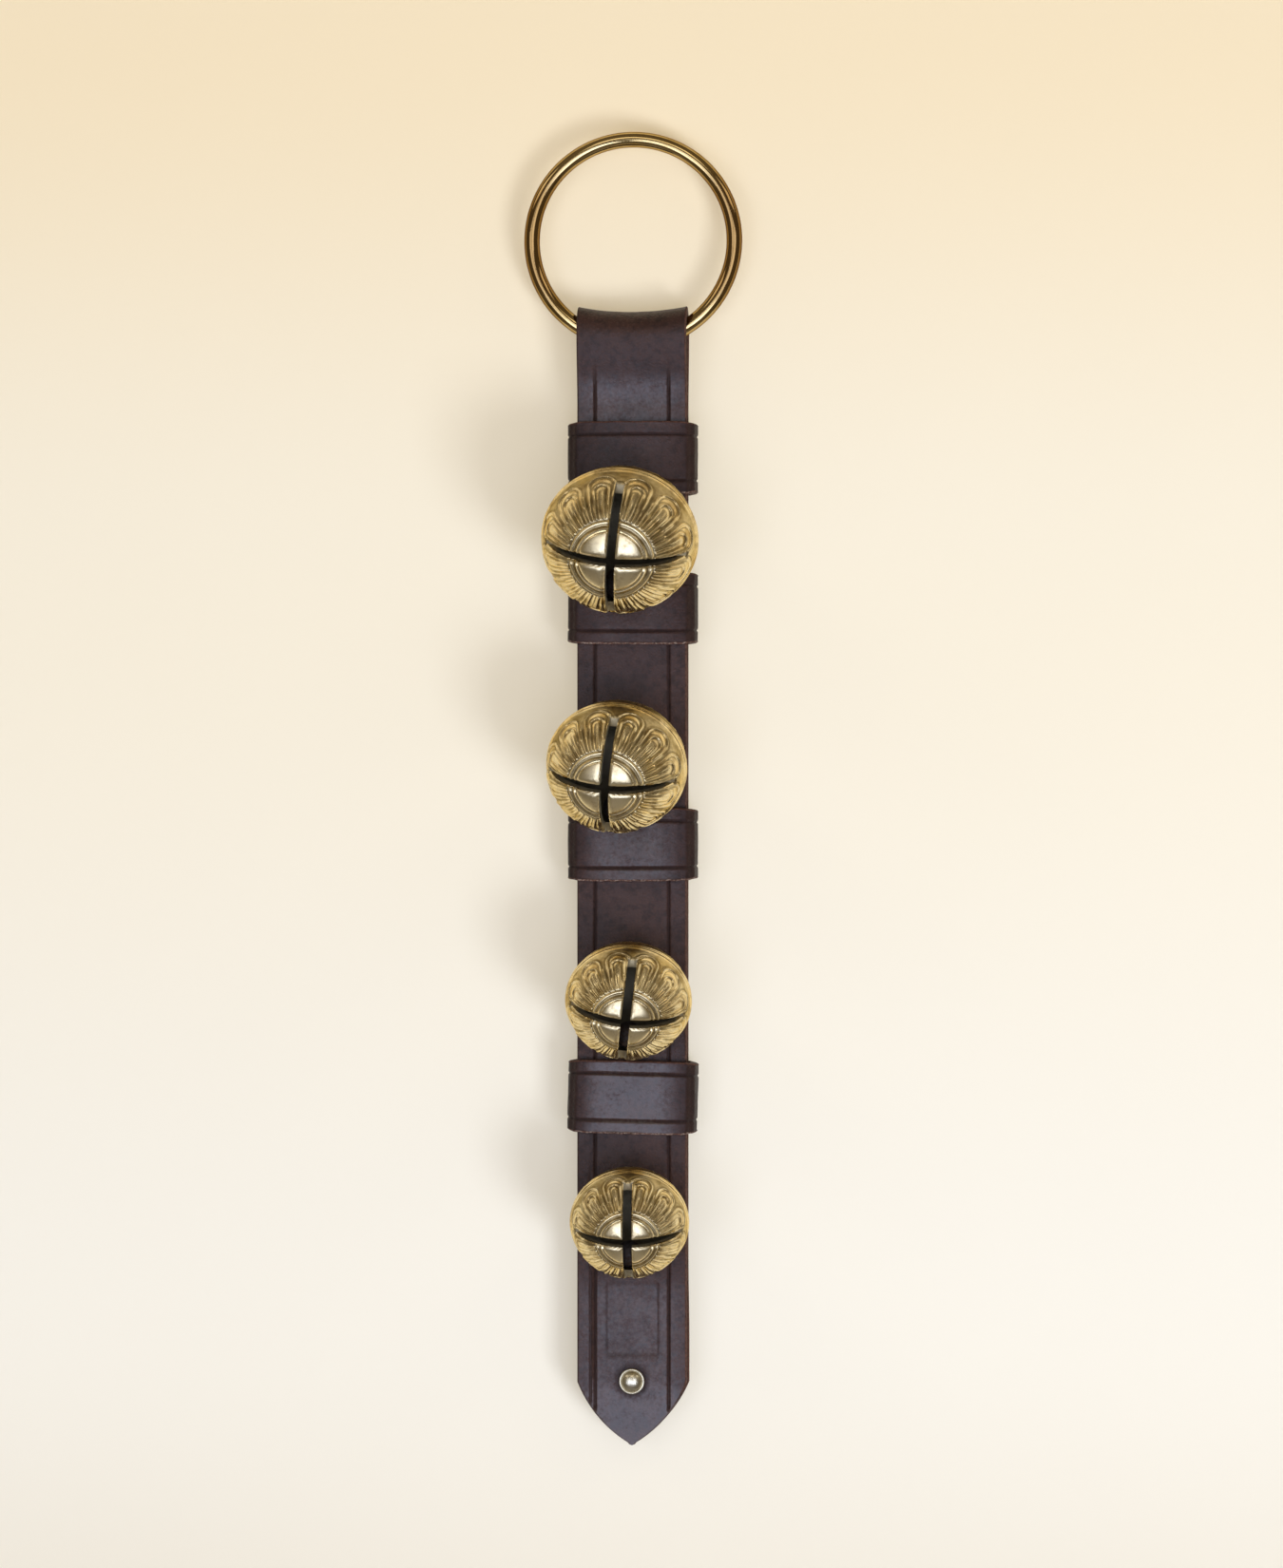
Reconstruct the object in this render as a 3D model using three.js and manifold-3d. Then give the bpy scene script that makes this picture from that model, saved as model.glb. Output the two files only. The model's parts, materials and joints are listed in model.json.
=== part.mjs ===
// Sleigh bell strap: a folded leather strap on a ring, with four cast bells on pins and four leather keepers.
// Millimetres, Z up, the front faces -Y. The origin is the inside top of the ring, where it hangs.
import * as THREE from 'three';
import { mergeVertices } from 'three/addons/utils/BufferGeometryUtils.js';
import createManifold from 'manifold-3d';

// Ring
const ringOuterDiameter = 63.5;
const ringWireDiameter = 4.6;

// Strap leather, folded over the ring
const strapWidth = 31.75;
const leatherThickness = 2.8;
const layerGap = 4.0;
const foldClearance = 0.3;
const foldSag = 1.6;
const creaseInset = 5.2;
const creaseDepth = 0.35;
const creaseHalfWidth = 0.5;
const edgeChamfer = 0.35;

// Distances down the strap, from the ring to the point
const swingToPinOne = 50.5;
const pinOneToTwo = 66.2;
const pinTwoToThree = 67.8;
const pinThreeToFour = 65.1;
const pinFourToShoulder = 54.1;
const pointLength = 18.2;
const pointBulge = 1.2;
const backLayerSkew = 1.2;
const pinFourToClosing = 18.1;
const closingLength = 23;
const closedLayerGap = 0.3;

// Keepers, set off from the pins above and below them
const keeperHeight = 21.2;
const keeperThickness = 2.8;
const keeperClearance = 0.3;
const keeperInnerCorner = 0.8;
const keeperCreaseInset = 3.8;
const keeperTravelUp = 4.0;
const keeperOneAbovePin = 3.7;
const keeperTwoBelowPin = 18.4;
const keeperThreeBelowPin = 20.7;
const keeperFourBelowPin = 26.0;

// Bells, from the largest at the top to the smallest
const bellOneDiameter = 44.5;
const bellTwoDiameter = 40.2;
const bellThreeDiameter = 35.7;
const bellFourDiameter = 33.6;
const bellOneWall = 3.3;
const bellTwoWall = 3.0;
const bellThreeWall = 2.7;
const bellFourWall = 2.5;
const bellFlattening = 0.943;
const bellBandHeight = 0.3;
const bellBandWidth = 2.0;
const slotWidth = 2.6;
const slotEndAngle = 69;
const bellRestClearance = 0.4;

// Shanks of the bells and the pins that hold them
const pinWireDiameter = 0.8;
const pinLegSpacing = 1.1;
const pinLength = 18;
const pinEyeRadius = 1.3;
const pinClearance = 0.35;
const shankThickness = 4.0;
const shankHalfHeight = 2.4;
const shankEyeDiameter = 2.3;
const shankRootRadius = 3.0;
const shankRootLength = 1.6;
const shankSideClearance = 1.0;
const shankEndClearance = 0.4;

// Pellets
const pelletOneDiameter = 9.5;
const pelletDiameter = 8.0;
const pelletClearance = 0.5;

// Rivet
const rivetAboveShoulder = 0.3;
const rivetCapDiameter = 7.5;
const rivetCapRise = 1.8;
const rivetCapEdge = 0.3;
const rivetPostDiameter = 2.6;
const rivetTubeWall = 0.6;
const rivetTubeLength = 4.2;
const rivetClearance = 0.3;
const rivetBaseDiameter = 7.0;
const rivetBaseThickness = 0.8;

// Places that follow from these sizes
const degree = Math.PI / 180;
const strapHalf = strapWidth / 2;
const ringWireRadius = ringWireDiameter / 2;
const ringRadius = ringOuterDiameter / 2 - ringWireRadius;
const ringCentreHeight = ringWireRadius - ringRadius;
const ringEdgeDrop = Math.sqrt(ringRadius ** 2 - strapHalf ** 2);
const ringEdgeReach = ringWireRadius * ringRadius / ringEdgeDrop;
const swingHeight = ringCentreHeight - (ringRadius + ringEdgeDrop) / 2;
const foldInnerRadius = ringCentreHeight - ringEdgeDrop + ringEdgeReach - swingHeight + foldClearance;
const frontFace = -(layerGap / 2 + leatherThickness);
const backFace = layerGap / 2 + leatherThickness;
const keeperFront = frontFace - keeperClearance - keeperThickness;
const pinDepth = -layerGap / 2 + pinClearance + pinWireDiameter / 2;
const pinOneHeight = swingHeight - swingToPinOne;
const pinTwoHeight = pinOneHeight - pinOneToTwo;
const pinThreeHeight = pinTwoHeight - pinTwoToThree;
const pinFourHeight = pinThreeHeight - pinThreeToFour;
const shoulderHeight = pinFourHeight - pinFourToShoulder;
const rivetHeight = shoulderHeight + rivetAboveShoulder;
const closingHeight = pinFourHeight - pinFourToClosing;
const keeperTops = [
  pinOneHeight + keeperOneAbovePin + keeperHeight,
  pinOneHeight - keeperTwoBelowPin,
  pinTwoHeight - keeperThreeBelowPin,
  pinThreeHeight - keeperFourBelowPin,
];
const legTop = keeperTops[0] + keeperTravelUp;

const wasm = await createManifold();
wasm.setup();

function closedShape(geometry) {
  const bare = geometry.clone();
  bare.deleteAttribute('normal');
  bare.deleteAttribute('uv');
  const merged = mergeVertices(bare, 1e-5);
  const corners = merged.index.array;
  const kept = [];
  for (let i = 0; i < corners.length; i += 3) {
    const [a, b, c] = [corners[i], corners[i + 1], corners[i + 2]];
    if (a !== b && b !== c && c !== a) kept.push(a, b, c);
  }
  merged.setIndex(kept);
  return merged;
}

function toSolid(geometry) {
  const shape = closedShape(geometry);
  return new wasm.Manifold(new wasm.Mesh({
    numProp: 3,
    vertProperties: new Float32Array(shape.attributes.position.array),
    triVerts: new Uint32Array(shape.index.array),
  }));
}

function toGeometry(solid) {
  const mesh = solid.getMesh();
  const geometry = new THREE.BufferGeometry();
  geometry.setAttribute('position', new THREE.BufferAttribute(new Float32Array(mesh.vertProperties), 3));
  geometry.setIndex(new THREE.BufferAttribute(new Uint32Array(mesh.triVerts), 1));
  return geometry;
}

// Skin over a row of equal rings of points, joined end to start when the row is closed.
function skin(rings, section, closed) {
  const count = section.length;
  const positions = rings.flat().flatMap((point) => point.toArray());
  const triangles = [];
  const spans = closed ? rings.length : rings.length - 1;
  for (let i = 0; i < spans; i += 1) {
    const here = i * count;
    const next = ((i + 1) % rings.length) * count;
    for (let j = 0; j < count; j += 1) {
      const k = (j + 1) % count;
      triangles.push(here + j, next + j, here + k, next + j, next + k, here + k);
    }
  }
  if (!closed) {
    const last = (rings.length - 1) * count;
    for (const [a, b, c] of THREE.ShapeUtils.triangulateShape(section, [])) {
      triangles.push(a, b, c, last + a, last + c, last + b);
    }
  }
  const geometry = new THREE.BufferGeometry();
  geometry.setAttribute('position', new THREE.Float32BufferAttribute(positions, 3));
  geometry.setIndex(triangles);
  return geometry;
}

function smooth(t) {
  const s = Math.min(1, Math.max(0, t));
  return s * s * (3 - 2 * s);
}

// An outline in the X-Z plane made solid between two depths.
function plate(outline, fromDepth, toDepth) {
  const depth = toDepth - fromDepth;
  const geometry = new THREE.ExtrudeGeometry(outline, { depth, bevelEnabled: false, curveSegments: 8 });
  geometry.rotateX(Math.PI / 2);
  geometry.translate(0, toDepth, 0);
  return geometry;
}

function roundedSlot(radius, bottom, top) {
  const outline = new THREE.Shape();
  outline.absarc(0, top - radius, radius, 0, Math.PI, false);
  outline.absarc(0, bottom + radius, radius, Math.PI, 2 * Math.PI, false);
  outline.closePath();
  return outline;
}

// Ring, in its own plane
function makeRing() {
  return new THREE.TorusGeometry(ringRadius, ringWireRadius, 10, 44);
}

// Strap: section across the leather, with a pressed crease along each edge of the outer side
function strapSection() {
  const outer = leatherThickness / 2;
  const crease = strapHalf - creaseInset;
  const right = [
    [strapHalf - edgeChamfer, outer],
    [crease + creaseHalfWidth, outer],
    [crease, outer - creaseDepth],
    [crease - creaseHalfWidth, outer],
    [crease / 2, outer],
  ];
  const left = right.map(([x, n]) => [-x, n]).reverse();
  const inner = [-strapHalf + edgeChamfer, -crease, 0, crease, strapHalf - edgeChamfer];
  return [
    [strapHalf, outer - edgeChamfer],
    ...right,
    [0, outer],
    ...left,
    [-strapHalf, outer - edgeChamfer],
    [-strapHalf, edgeChamfer - outer],
    ...inner.map((x) => [x, -outer]),
    [strapHalf, edgeChamfer - outer],
  ].map(([x, n]) => new THREE.Vector2(x, n));
}

// Middle line of the leather from the front point, over the ring, to the back point: x shift, depth, height
function strapLine() {
  const layerDepth = (layerGap + leatherThickness) / 2;
  const foldRadius = foldInnerRadius + leatherThickness / 2;
  const flareLength = swingHeight - legTop;
  const legEnd = shoulderHeight - 1.25 * pointLength;
  const closedDepth = -layerDepth + leatherThickness + closedLayerGap;
  const line = [];
  const legSteps = 5;
  for (let i = 0; i <= legSteps; i += 1) {
    line.push([0, -layerDepth, legEnd + (legTop - legEnd) * i / legSteps]);
  }
  const flareSteps = 6;
  for (let i = 1; i < flareSteps; i += 1) {
    const t = i / flareSteps;
    line.push([0, -layerDepth - (foldRadius - layerDepth) * smooth(t), legTop + flareLength * t]);
  }
  const foldSteps = 12;
  for (let i = 0; i <= foldSteps; i += 1) {
    const angle = Math.PI * (1 - i / foldSteps);
    line.push([0, foldRadius * Math.cos(angle), swingHeight + foldRadius * Math.sin(angle)]);
  }
  for (let i = flareSteps - 1; i >= 0; i -= 1) {
    const t = i / flareSteps;
    line.push([0, layerDepth + (foldRadius - layerDepth) * smooth(t), legTop + flareLength * t]);
  }
  const backSteps = 4;
  for (let i = 1; i < backSteps; i += 1) {
    line.push([0, layerDepth, legTop + (closingHeight - legTop) * i / backSteps]);
  }
  const closeSteps = 6;
  for (let i = 0; i <= closeSteps; i += 1) {
    const t = i / closeSteps;
    const depth = layerDepth + (closedDepth - layerDepth) * smooth(t);
    line.push([backLayerSkew * smooth(t), depth, closingHeight - closingLength * t]);
  }
  line.push([backLayerSkew, closedDepth, legEnd]);
  return line;
}

// Leather cut away round the pointed end of one layer
function pointWaste(shift, fromDepth, toDepth) {
  const tip = shoulderHeight - pointLength;
  const side = 1.5 * strapHalf + backLayerSkew;
  const run = Math.hypot(strapHalf, pointLength);
  const outX = 2 * pointBulge * pointLength / run;
  const outZ = 2 * pointBulge * strapHalf / run;
  const middle = (shoulderHeight + tip) / 2;
  const outline = new THREE.Shape();
  outline.moveTo(-side, shoulderHeight);
  outline.lineTo(-strapHalf, shoulderHeight);
  outline.quadraticCurveTo(-strapHalf / 2 - outX, middle - outZ, 0, tip);
  outline.quadraticCurveTo(strapHalf / 2 + outX, middle - outZ, strapHalf, shoulderHeight);
  outline.lineTo(side, shoulderHeight);
  outline.lineTo(side, tip - pointLength);
  outline.lineTo(-side, tip - pointLength);
  outline.closePath();
  const geometry = plate(outline, fromDepth, toDepth);
  geometry.translate(shift, 0, 0);
  return toSolid(geometry);
}

function makeStrap() {
  const section = strapSection();
  const line = strapLine();
  const rings = line.map(([shift, depth, height], i) => {
    const before = line[Math.max(0, i - 1)];
    const after = line[Math.min(line.length - 1, i + 1)];
    const run = Math.hypot(after[1] - before[1], after[2] - before[2]);
    const outDepth = -(after[2] - before[2]) / run;
    const outHeight = (after[1] - before[1]) / run;
    const sagShare = smooth((height - swingHeight + 6) / (foldInnerRadius + 6));
    return section.map(({ x, y }) => {
      const sag = foldSag * (1 - (x / strapHalf) ** 2) * sagShare;
      return new THREE.Vector3(x + shift, depth + y * outDepth, height + y * outHeight - sag);
    });
  });
  let strap = toSolid(skin(rings, section, false));
  const betweenLayers = frontFace + leatherThickness + closedLayerGap / 2;
  strap = strap.subtract(pointWaste(0, 2 * frontFace, betweenLayers));
  strap = strap.subtract(pointWaste(backLayerSkew, betweenLayers, 2 * backFace));
  const slotRadius = shankThickness / 2 + shankSideClearance;
  for (const { pinHeight, droop } of bells) {
    const reach = pinDepth - frontFace;
    const end = slotRadius - Math.sqrt(slotRadius ** 2 - ((slotRadius + shankThickness / 2) / 2) ** 2);
    const below = reach * Math.tan(droop) + shankHalfHeight / Math.cos(droop) + shankEndClearance + end;
    const above = shankHalfHeight + shankEndClearance + end;
    const outline = roundedSlot(slotRadius, pinHeight - below, pinHeight + above);
    strap = strap.subtract(toSolid(plate(outline, 2 * frontFace, pinDepth)));
  }
  const holeRadius = rivetPostDiameter / 2 + rivetTubeWall + 2 * rivetClearance;
  const hole = new THREE.CylinderGeometry(holeRadius, holeRadius, 4 * backFace, 18);
  hole.translate(0, 0, rivetHeight);
  return toGeometry(strap.subtract(toSolid(hole)));
}

// Keeper: a band round both layers, with a pressed crease near its upper and lower edges
function makeKeeper() {
  const halfWidth = strapHalf + keeperClearance;
  const halfDepth = backFace + keeperClearance;
  const corners = [[1, 1, 0], [-1, 1, 90], [-1, -1, 180], [1, -1, 270]];
  const cornerSteps = 4;
  const section = [
    [0, 0],
    [keeperThickness, 0],
    [keeperThickness, keeperCreaseInset - creaseHalfWidth],
    [keeperThickness - creaseDepth, keeperCreaseInset],
    [keeperThickness, keeperCreaseInset + creaseHalfWidth],
    [keeperThickness, keeperHeight - keeperCreaseInset - creaseHalfWidth],
    [keeperThickness - creaseDepth, keeperHeight - keeperCreaseInset],
    [keeperThickness, keeperHeight - keeperCreaseInset + creaseHalfWidth],
    [keeperThickness, keeperHeight],
    [0, keeperHeight],
  ].map(([n, z]) => new THREE.Vector2(n, z));
  const rings = [];
  for (const [sideX, sideY, start] of corners) {
    for (let i = 0; i <= cornerSteps; i += 1) {
      const angle = (start + 90 * i / cornerSteps) * degree;
      const centreX = sideX * (halfWidth - keeperInnerCorner);
      const centreY = sideY * (halfDepth - keeperInnerCorner);
      rings.push(section.map(({ x, y }) => {
        const reach = keeperInnerCorner + x;
        const across = centreX + reach * Math.cos(angle);
        const depth = centreY + reach * Math.sin(angle);
        return new THREE.Vector3(across, depth, y - keeperHeight);
      }));
    }
  }
  return skin(rings, section, true);
}

// Bell: how far it stands from its pin, so that it clears the strap and the keeper under it
function placeBell(bell) {
  const radius = bell.diameter / 2;
  const slope = Math.tan(bell.droop);
  const backReach = radius * Math.hypot(Math.cos(bell.droop), bellFlattening * Math.sin(bell.droop));
  const strapReach = (pinDepth - frontFace + bellRestClearance + backReach) / Math.cos(bell.droop);
  const room = radius + bellBandHeight + bellRestClearance;
  const clears = (pinReach) => keeperTops.every((top) => {
    const depth = pinDepth - keeperFront;
    const drop = bell.pinHeight - top;
    const along = pinReach - (depth + drop * slope) * Math.cos(bell.droop);
    const across = (drop - depth * slope) * Math.cos(bell.droop);
    return drop < 0 || Math.hypot(along, across / bellFlattening) > room;
  });
  let pinReach = strapReach;
  const step = 0.02;
  while (!clears(pinReach)) pinReach += step;
  return { ...bell, radius, pinReach };
}

// Hollow cast shell with a raised band, two crossed slots and a flat shank with an eye
function makeBell({ radius, wall, pinReach, roll }) {
  const segments = 28;
  const bandAngle = bellBandWidth / 2 / radius / degree;
  const frontAngles = [0, 12, 24, 37, 50, 63, 76, 89 - bandAngle];
  const backAngles = frontAngles.map((angle) => 180 - angle).reverse();
  const onSphere = (angle, size) => {
    const turn = angle * degree;
    return new THREE.Vector2(size * Math.sin(turn), -size * Math.cos(turn));
  };
  const profile = [
    ...frontAngles.map((angle) => onSphere(angle, radius)),
    onSphere(90 - bandAngle, radius + bellBandHeight),
    onSphere(90 + bandAngle, radius + bellBandHeight),
    ...backAngles.map((angle) => onSphere(angle, radius)),
  ];
  profile[0].x = 0;
  profile[profile.length - 1].x = 0;
  let shell = toSolid(new THREE.LatheGeometry(profile, segments));
  shell = shell.subtract(toSolid(new THREE.SphereGeometry(radius - wall, 24, 12)));
  const slotFloor = radius * Math.cos(slotEndAngle * degree);
  const slotMouth = 1.2 * radius;
  for (const turn of [0, 90]) {
    const slot = new THREE.BoxGeometry(slotWidth, slotMouth - slotFloor, 2 * slotMouth);
    slot.translate(0, -(slotMouth + slotFloor) / 2, 0);
    slot.rotateY(turn * degree + roll);
    shell = shell.subtract(toSolid(slot));
  }
  const squashed = toGeometry(shell);
  squashed.scale(1, 1, bellFlattening);
  const rootDepth = radius - wall / 2;
  const tab = new THREE.Shape();
  tab.moveTo(rootDepth, -shankHalfHeight);
  tab.absarc(pinReach, 0, shankHalfHeight, -Math.PI / 2, Math.PI / 2, false);
  tab.lineTo(rootDepth, shankHalfHeight);
  tab.closePath();
  const shankSettings = { depth: shankThickness, bevelEnabled: false, curveSegments: 10 };
  const shank = new THREE.ExtrudeGeometry(tab, shankSettings);
  shank.translate(0, 0, -shankThickness / 2);
  shank.rotateX(Math.PI / 2);
  shank.rotateZ(Math.PI / 2);
  const rootLength = wall / 2 + shankRootLength;
  const root = new THREE.CylinderGeometry(shankHalfHeight, shankRootRadius, rootLength, 18);
  root.translate(0, rootDepth + rootLength / 2, 0);
  const eye = new THREE.CylinderGeometry(shankEyeDiameter / 2, shankEyeDiameter / 2, 3 * shankThickness, 16);
  eye.rotateZ(Math.PI / 2);
  eye.translate(0, pinReach, 0);
  const bell = toSolid(squashed).add(toSolid(shank)).add(toSolid(root));
  return toGeometry(bell.subtract(toSolid(eye)));
}

// Pin: one wire bent double round a small eye, its two ends a little spread
function makePin() {
  const leg = pinLegSpacing / 2;
  const end = pinLength / 2;
  const eyeCentre = pinEyeRadius - end;
  const points = [
    [end, 2.6 * leg],
    [end - 2.5, 1.6 * leg],
    [end - 5, leg],
    [end / 3, leg],
    [-end / 3, leg],
    [eyeCentre + 2.2 * pinEyeRadius, leg],
    [eyeCentre, pinEyeRadius],
    [eyeCentre - pinEyeRadius, 0],
  ];
  const mirrored = points.slice(0, -1).reverse().map(([x, z]) => [x, -z]);
  const bends = [...points, ...mirrored].map(([x, z]) => new THREE.Vector3(x, 0, z));
  const path = new THREE.CatmullRomCurve3(bends);
  const wire = new THREE.Shape();
  wire.absarc(0, 0, pinWireDiameter / 2, 0, 2 * Math.PI, false);
  return new THREE.ExtrudeGeometry(wire, { steps: 28, curveSegments: 3, extrudePath: path });
}

// Rivet: a domed cap with a tube, and a flat base whose post stands in the tube
function makeRivetCap() {
  const seat = frontFace - rivetClearance;
  const bore = rivetPostDiameter / 2 + rivetClearance;
  const tube = rivetPostDiameter / 2 + rivetTubeWall + rivetClearance;
  const edge = rivetCapDiameter / 2;
  const tubeEnd = seat + rivetTubeLength;
  const dome = [0, 22, 45, 68, 90].map((angle) => new THREE.Vector2(
    edge * Math.sin(angle * degree),
    seat - rivetCapEdge - (rivetCapRise - rivetCapEdge) * Math.cos(angle * degree),
  ));
  dome[0].x = 0;
  const profile = [
    ...dome,
    new THREE.Vector2(edge, seat),
    new THREE.Vector2(tube, seat),
    new THREE.Vector2(tube, tubeEnd),
    new THREE.Vector2(bore, tubeEnd),
    new THREE.Vector2(bore, seat),
    new THREE.Vector2(0, seat),
  ];
  return new THREE.LatheGeometry(profile, 16);
}

function makeRivetBase() {
  const seat = frontFace + 2 * leatherThickness + closedLayerGap + rivetClearance;
  const post = rivetPostDiameter / 2;
  const edge = rivetBaseDiameter / 2;
  const profile = [
    new THREE.Vector2(0, frontFace),
    new THREE.Vector2(post, frontFace),
    new THREE.Vector2(post, seat),
    new THREE.Vector2(edge, seat),
    new THREE.Vector2(edge, seat + rivetBaseThickness / 2),
    new THREE.Vector2(edge - rivetBaseThickness / 2, seat + rivetBaseThickness),
    new THREE.Vector2(0, seat + rivetBaseThickness),
  ];
  return new THREE.LatheGeometry(profile, 16);
}

// How each bell hangs: droop below level, turn to the side, and roll of its slots
const bells = [
  {
    diameter: bellOneDiameter,
    wall: bellOneWall,
    pinHeight: pinOneHeight,
    droop: 20.5 * degree,
    yaw: -3.6 * degree,
    roll: 6 * degree,
    pellet: pelletOneDiameter,
  },
  {
    diameter: bellTwoDiameter,
    wall: bellTwoWall,
    pinHeight: pinTwoHeight,
    droop: 20 * degree,
    yaw: -7 * degree,
    roll: 6 * degree,
    pellet: pelletDiameter,
  },
  {
    diameter: bellThreeDiameter,
    wall: bellThreeWall,
    pinHeight: pinThreeHeight,
    droop: 20 * degree,
    yaw: 0.9 * degree,
    roll: 6.5 * degree,
    pellet: pelletDiameter,
  },
  {
    diameter: bellFourDiameter,
    wall: bellFourWall,
    pinHeight: pinFourHeight,
    droop: 17 * degree,
    yaw: 1.5 * degree,
    roll: 0,
    pellet: pelletDiameter,
  },
].map(placeBell);

function makePiece(name, geometry, color, metalness, roughness) {
  const shape = closedShape(geometry);
  shape.computeVertexNormals();
  const piece = new THREE.Mesh(shape, new THREE.MeshStandardMaterial({ color, metalness, roughness }));
  piece.name = name;
  return piece;
}

const group = new THREE.Group();
group.name = 'sleigh_bell_strap';

const ring = makePiece('hanging_ring', makeRing(), '#c9a04e', 1, 0.25);
ring.rotation.x = Math.PI / 2;
ring.position.z = ringCentreHeight;
group.add(ring);

group.add(makePiece('strap', makeStrap(), '#3a2a2c', 0, 0.55));

keeperTops.forEach((top, i) => {
  const keeper = makePiece(`keeper_${i + 1}`, makeKeeper(), '#35262a', 0, 0.55);
  keeper.position.z = top;
  group.add(keeper);
});

bells.forEach((bell, i) => {
  const pin = makePiece(`cotter_pin_${i + 1}`, makePin(), '#9a9a98', 1, 0.4);
  pin.position.set(0, pinDepth, bell.pinHeight);
  group.add(pin);

  // The bell hangs from its pin: its group turns about the pin, and the shell stands off along the shank.
  const hanging = new THREE.Group();
  hanging.position.copy(pin.position);
  hanging.rotation.set(bell.droop, 0, bell.yaw, 'ZXY');
  const shell = makePiece(`bell_shell_${i + 1}`, makeBell(bell), '#b08a45', 1, 0.35);
  shell.position.y = -bell.pinReach;
  hanging.add(shell);
  group.add(hanging);

  // The pellet lies straight below the middle of the hollow.
  const ball = bell.pellet / 2;
  const room = (bell.radius - bell.wall) * bellFlattening;
  const pellet = makePiece(`pellet_${i + 1}`, new THREE.SphereGeometry(ball, 12, 8), '#55504c', 1, 0.6);
  hanging.updateMatrixWorld(true);
  pellet.position.copy(shell.getWorldPosition(new THREE.Vector3()));
  pellet.position.z -= room - ball - pelletClearance;
  group.add(pellet);
});

const rivetCap = makePiece('rivet_cap', makeRivetCap(), '#cfc6a8', 1, 0.3);
rivetCap.position.z = rivetHeight;
group.add(rivetCap);

const rivetBase = makePiece('rivet_base', makeRivetBase(), '#cfc6a8', 1, 0.35);
rivetBase.position.z = rivetHeight;
group.add(rivetBase);

export default group;
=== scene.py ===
import json
import math
from types import SimpleNamespace as Look

import bmesh
import bpy
import numpy as np
from mathutils import Matrix, Vector, kdtree


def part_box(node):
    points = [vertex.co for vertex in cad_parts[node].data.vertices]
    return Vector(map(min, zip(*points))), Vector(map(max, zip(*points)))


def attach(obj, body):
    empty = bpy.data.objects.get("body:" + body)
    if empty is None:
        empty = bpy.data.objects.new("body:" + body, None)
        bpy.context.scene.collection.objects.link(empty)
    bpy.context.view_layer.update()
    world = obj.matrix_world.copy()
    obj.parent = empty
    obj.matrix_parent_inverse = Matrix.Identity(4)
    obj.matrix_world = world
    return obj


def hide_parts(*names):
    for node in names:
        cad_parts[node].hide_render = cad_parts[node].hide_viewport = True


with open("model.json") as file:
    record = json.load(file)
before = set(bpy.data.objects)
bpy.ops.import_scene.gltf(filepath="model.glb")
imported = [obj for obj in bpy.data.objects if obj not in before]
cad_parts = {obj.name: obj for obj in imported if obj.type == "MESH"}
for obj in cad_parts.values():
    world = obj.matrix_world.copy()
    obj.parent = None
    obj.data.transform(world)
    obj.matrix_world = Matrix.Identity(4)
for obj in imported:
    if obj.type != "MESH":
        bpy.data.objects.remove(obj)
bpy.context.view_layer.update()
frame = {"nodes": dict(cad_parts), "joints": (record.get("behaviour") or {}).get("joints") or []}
joints = {joint["name"]: joint for joint in frame["joints"]}
mm = 0.001
bellCount = 4  # each with a pin, a pellet and a keeper
fullTurn = 2 * np.pi
print("frame loaded:", len(frame["nodes"]), "solids")


# shader values: arithmetic on a Sock adds Math nodes
class Sock:
    def __init__(self, tree, out=None):
        self.tree, self.out = tree, out

    def feed(self, socket, value):
        if isinstance(value, Sock):
            self.tree.links.new(value.out, socket)
        elif socket.type == "RGBA":
            socket.default_value = (*value, 1)
        else:
            socket.default_value = value

    def node(self, kind, setup=None, links=None, out=0):
        made = self.tree.nodes.new("ShaderNode" + kind)
        for key, value in (setup or {}).items():
            setattr(made, key, value)
        for key, value in (links or {}).items():
            self.feed(made.inputs[key], value)
        return Sock(self.tree, made.outputs[out])

    def maths(self, sign, a, b):
        return self.node("Math", {"operation": sign}, {0: a, 1: b})

    def __add__(self, other):
        return self.maths("ADD", self, other)

    def __radd__(self, other):
        return self.maths("ADD", other, self)

    def __sub__(self, other):
        return self.maths("SUBTRACT", self, other)

    def __rsub__(self, other):
        return self.maths("SUBTRACT", other, self)

    def __mul__(self, other):
        return self.maths("MULTIPLY", self, other)

    def __rmul__(self, other):
        return self.maths("MULTIPLY", other, self)

    def atMost(self, other):
        return self.maths("MINIMUM", self, other)

    def between(self, low, high):  # 0 below low, 1 above high, eased
        links = {0: self, 1: low, 2: high, 3: 0.0, 4: 1.0}
        return self.node("MapRange", {"interpolation_type": "SMOOTHSTEP"}, links)

    def blend(self, a, b):  # colour a where this is 0, b where it is 1
        return self.node("Mix", {"data_type": "RGBA"}, {0: self, 6: a, 7: b}, 2)

    def times(self, vector):
        return self.node("VectorMath", {"operation": "MULTIPLY"}, {0: self, 1: vector})

    def upward(self):  # height, from coordinates
        return self.node("SeparateXYZ", None, {0: self}, "Z")

    def mark(self, named):  # what markPiece left on the mesh
        return self.node("Attribute", {"attribute_name": named}, None, "Fac")

    def noise(self, size, detail, rough, stretch=None):  # on coordinates, size in mm
        where = self.times(stretch) if stretch else self
        links = {"Vector": where, "Scale": 1 / (size * mm), "Detail": detail, "Roughness": rough}
        return self.node("TexNoise", None, links)

    def cells(self, size):
        return self.node("TexVoronoi", None, {"Vector": self, "Scale": 1 / (size * mm)})


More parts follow.
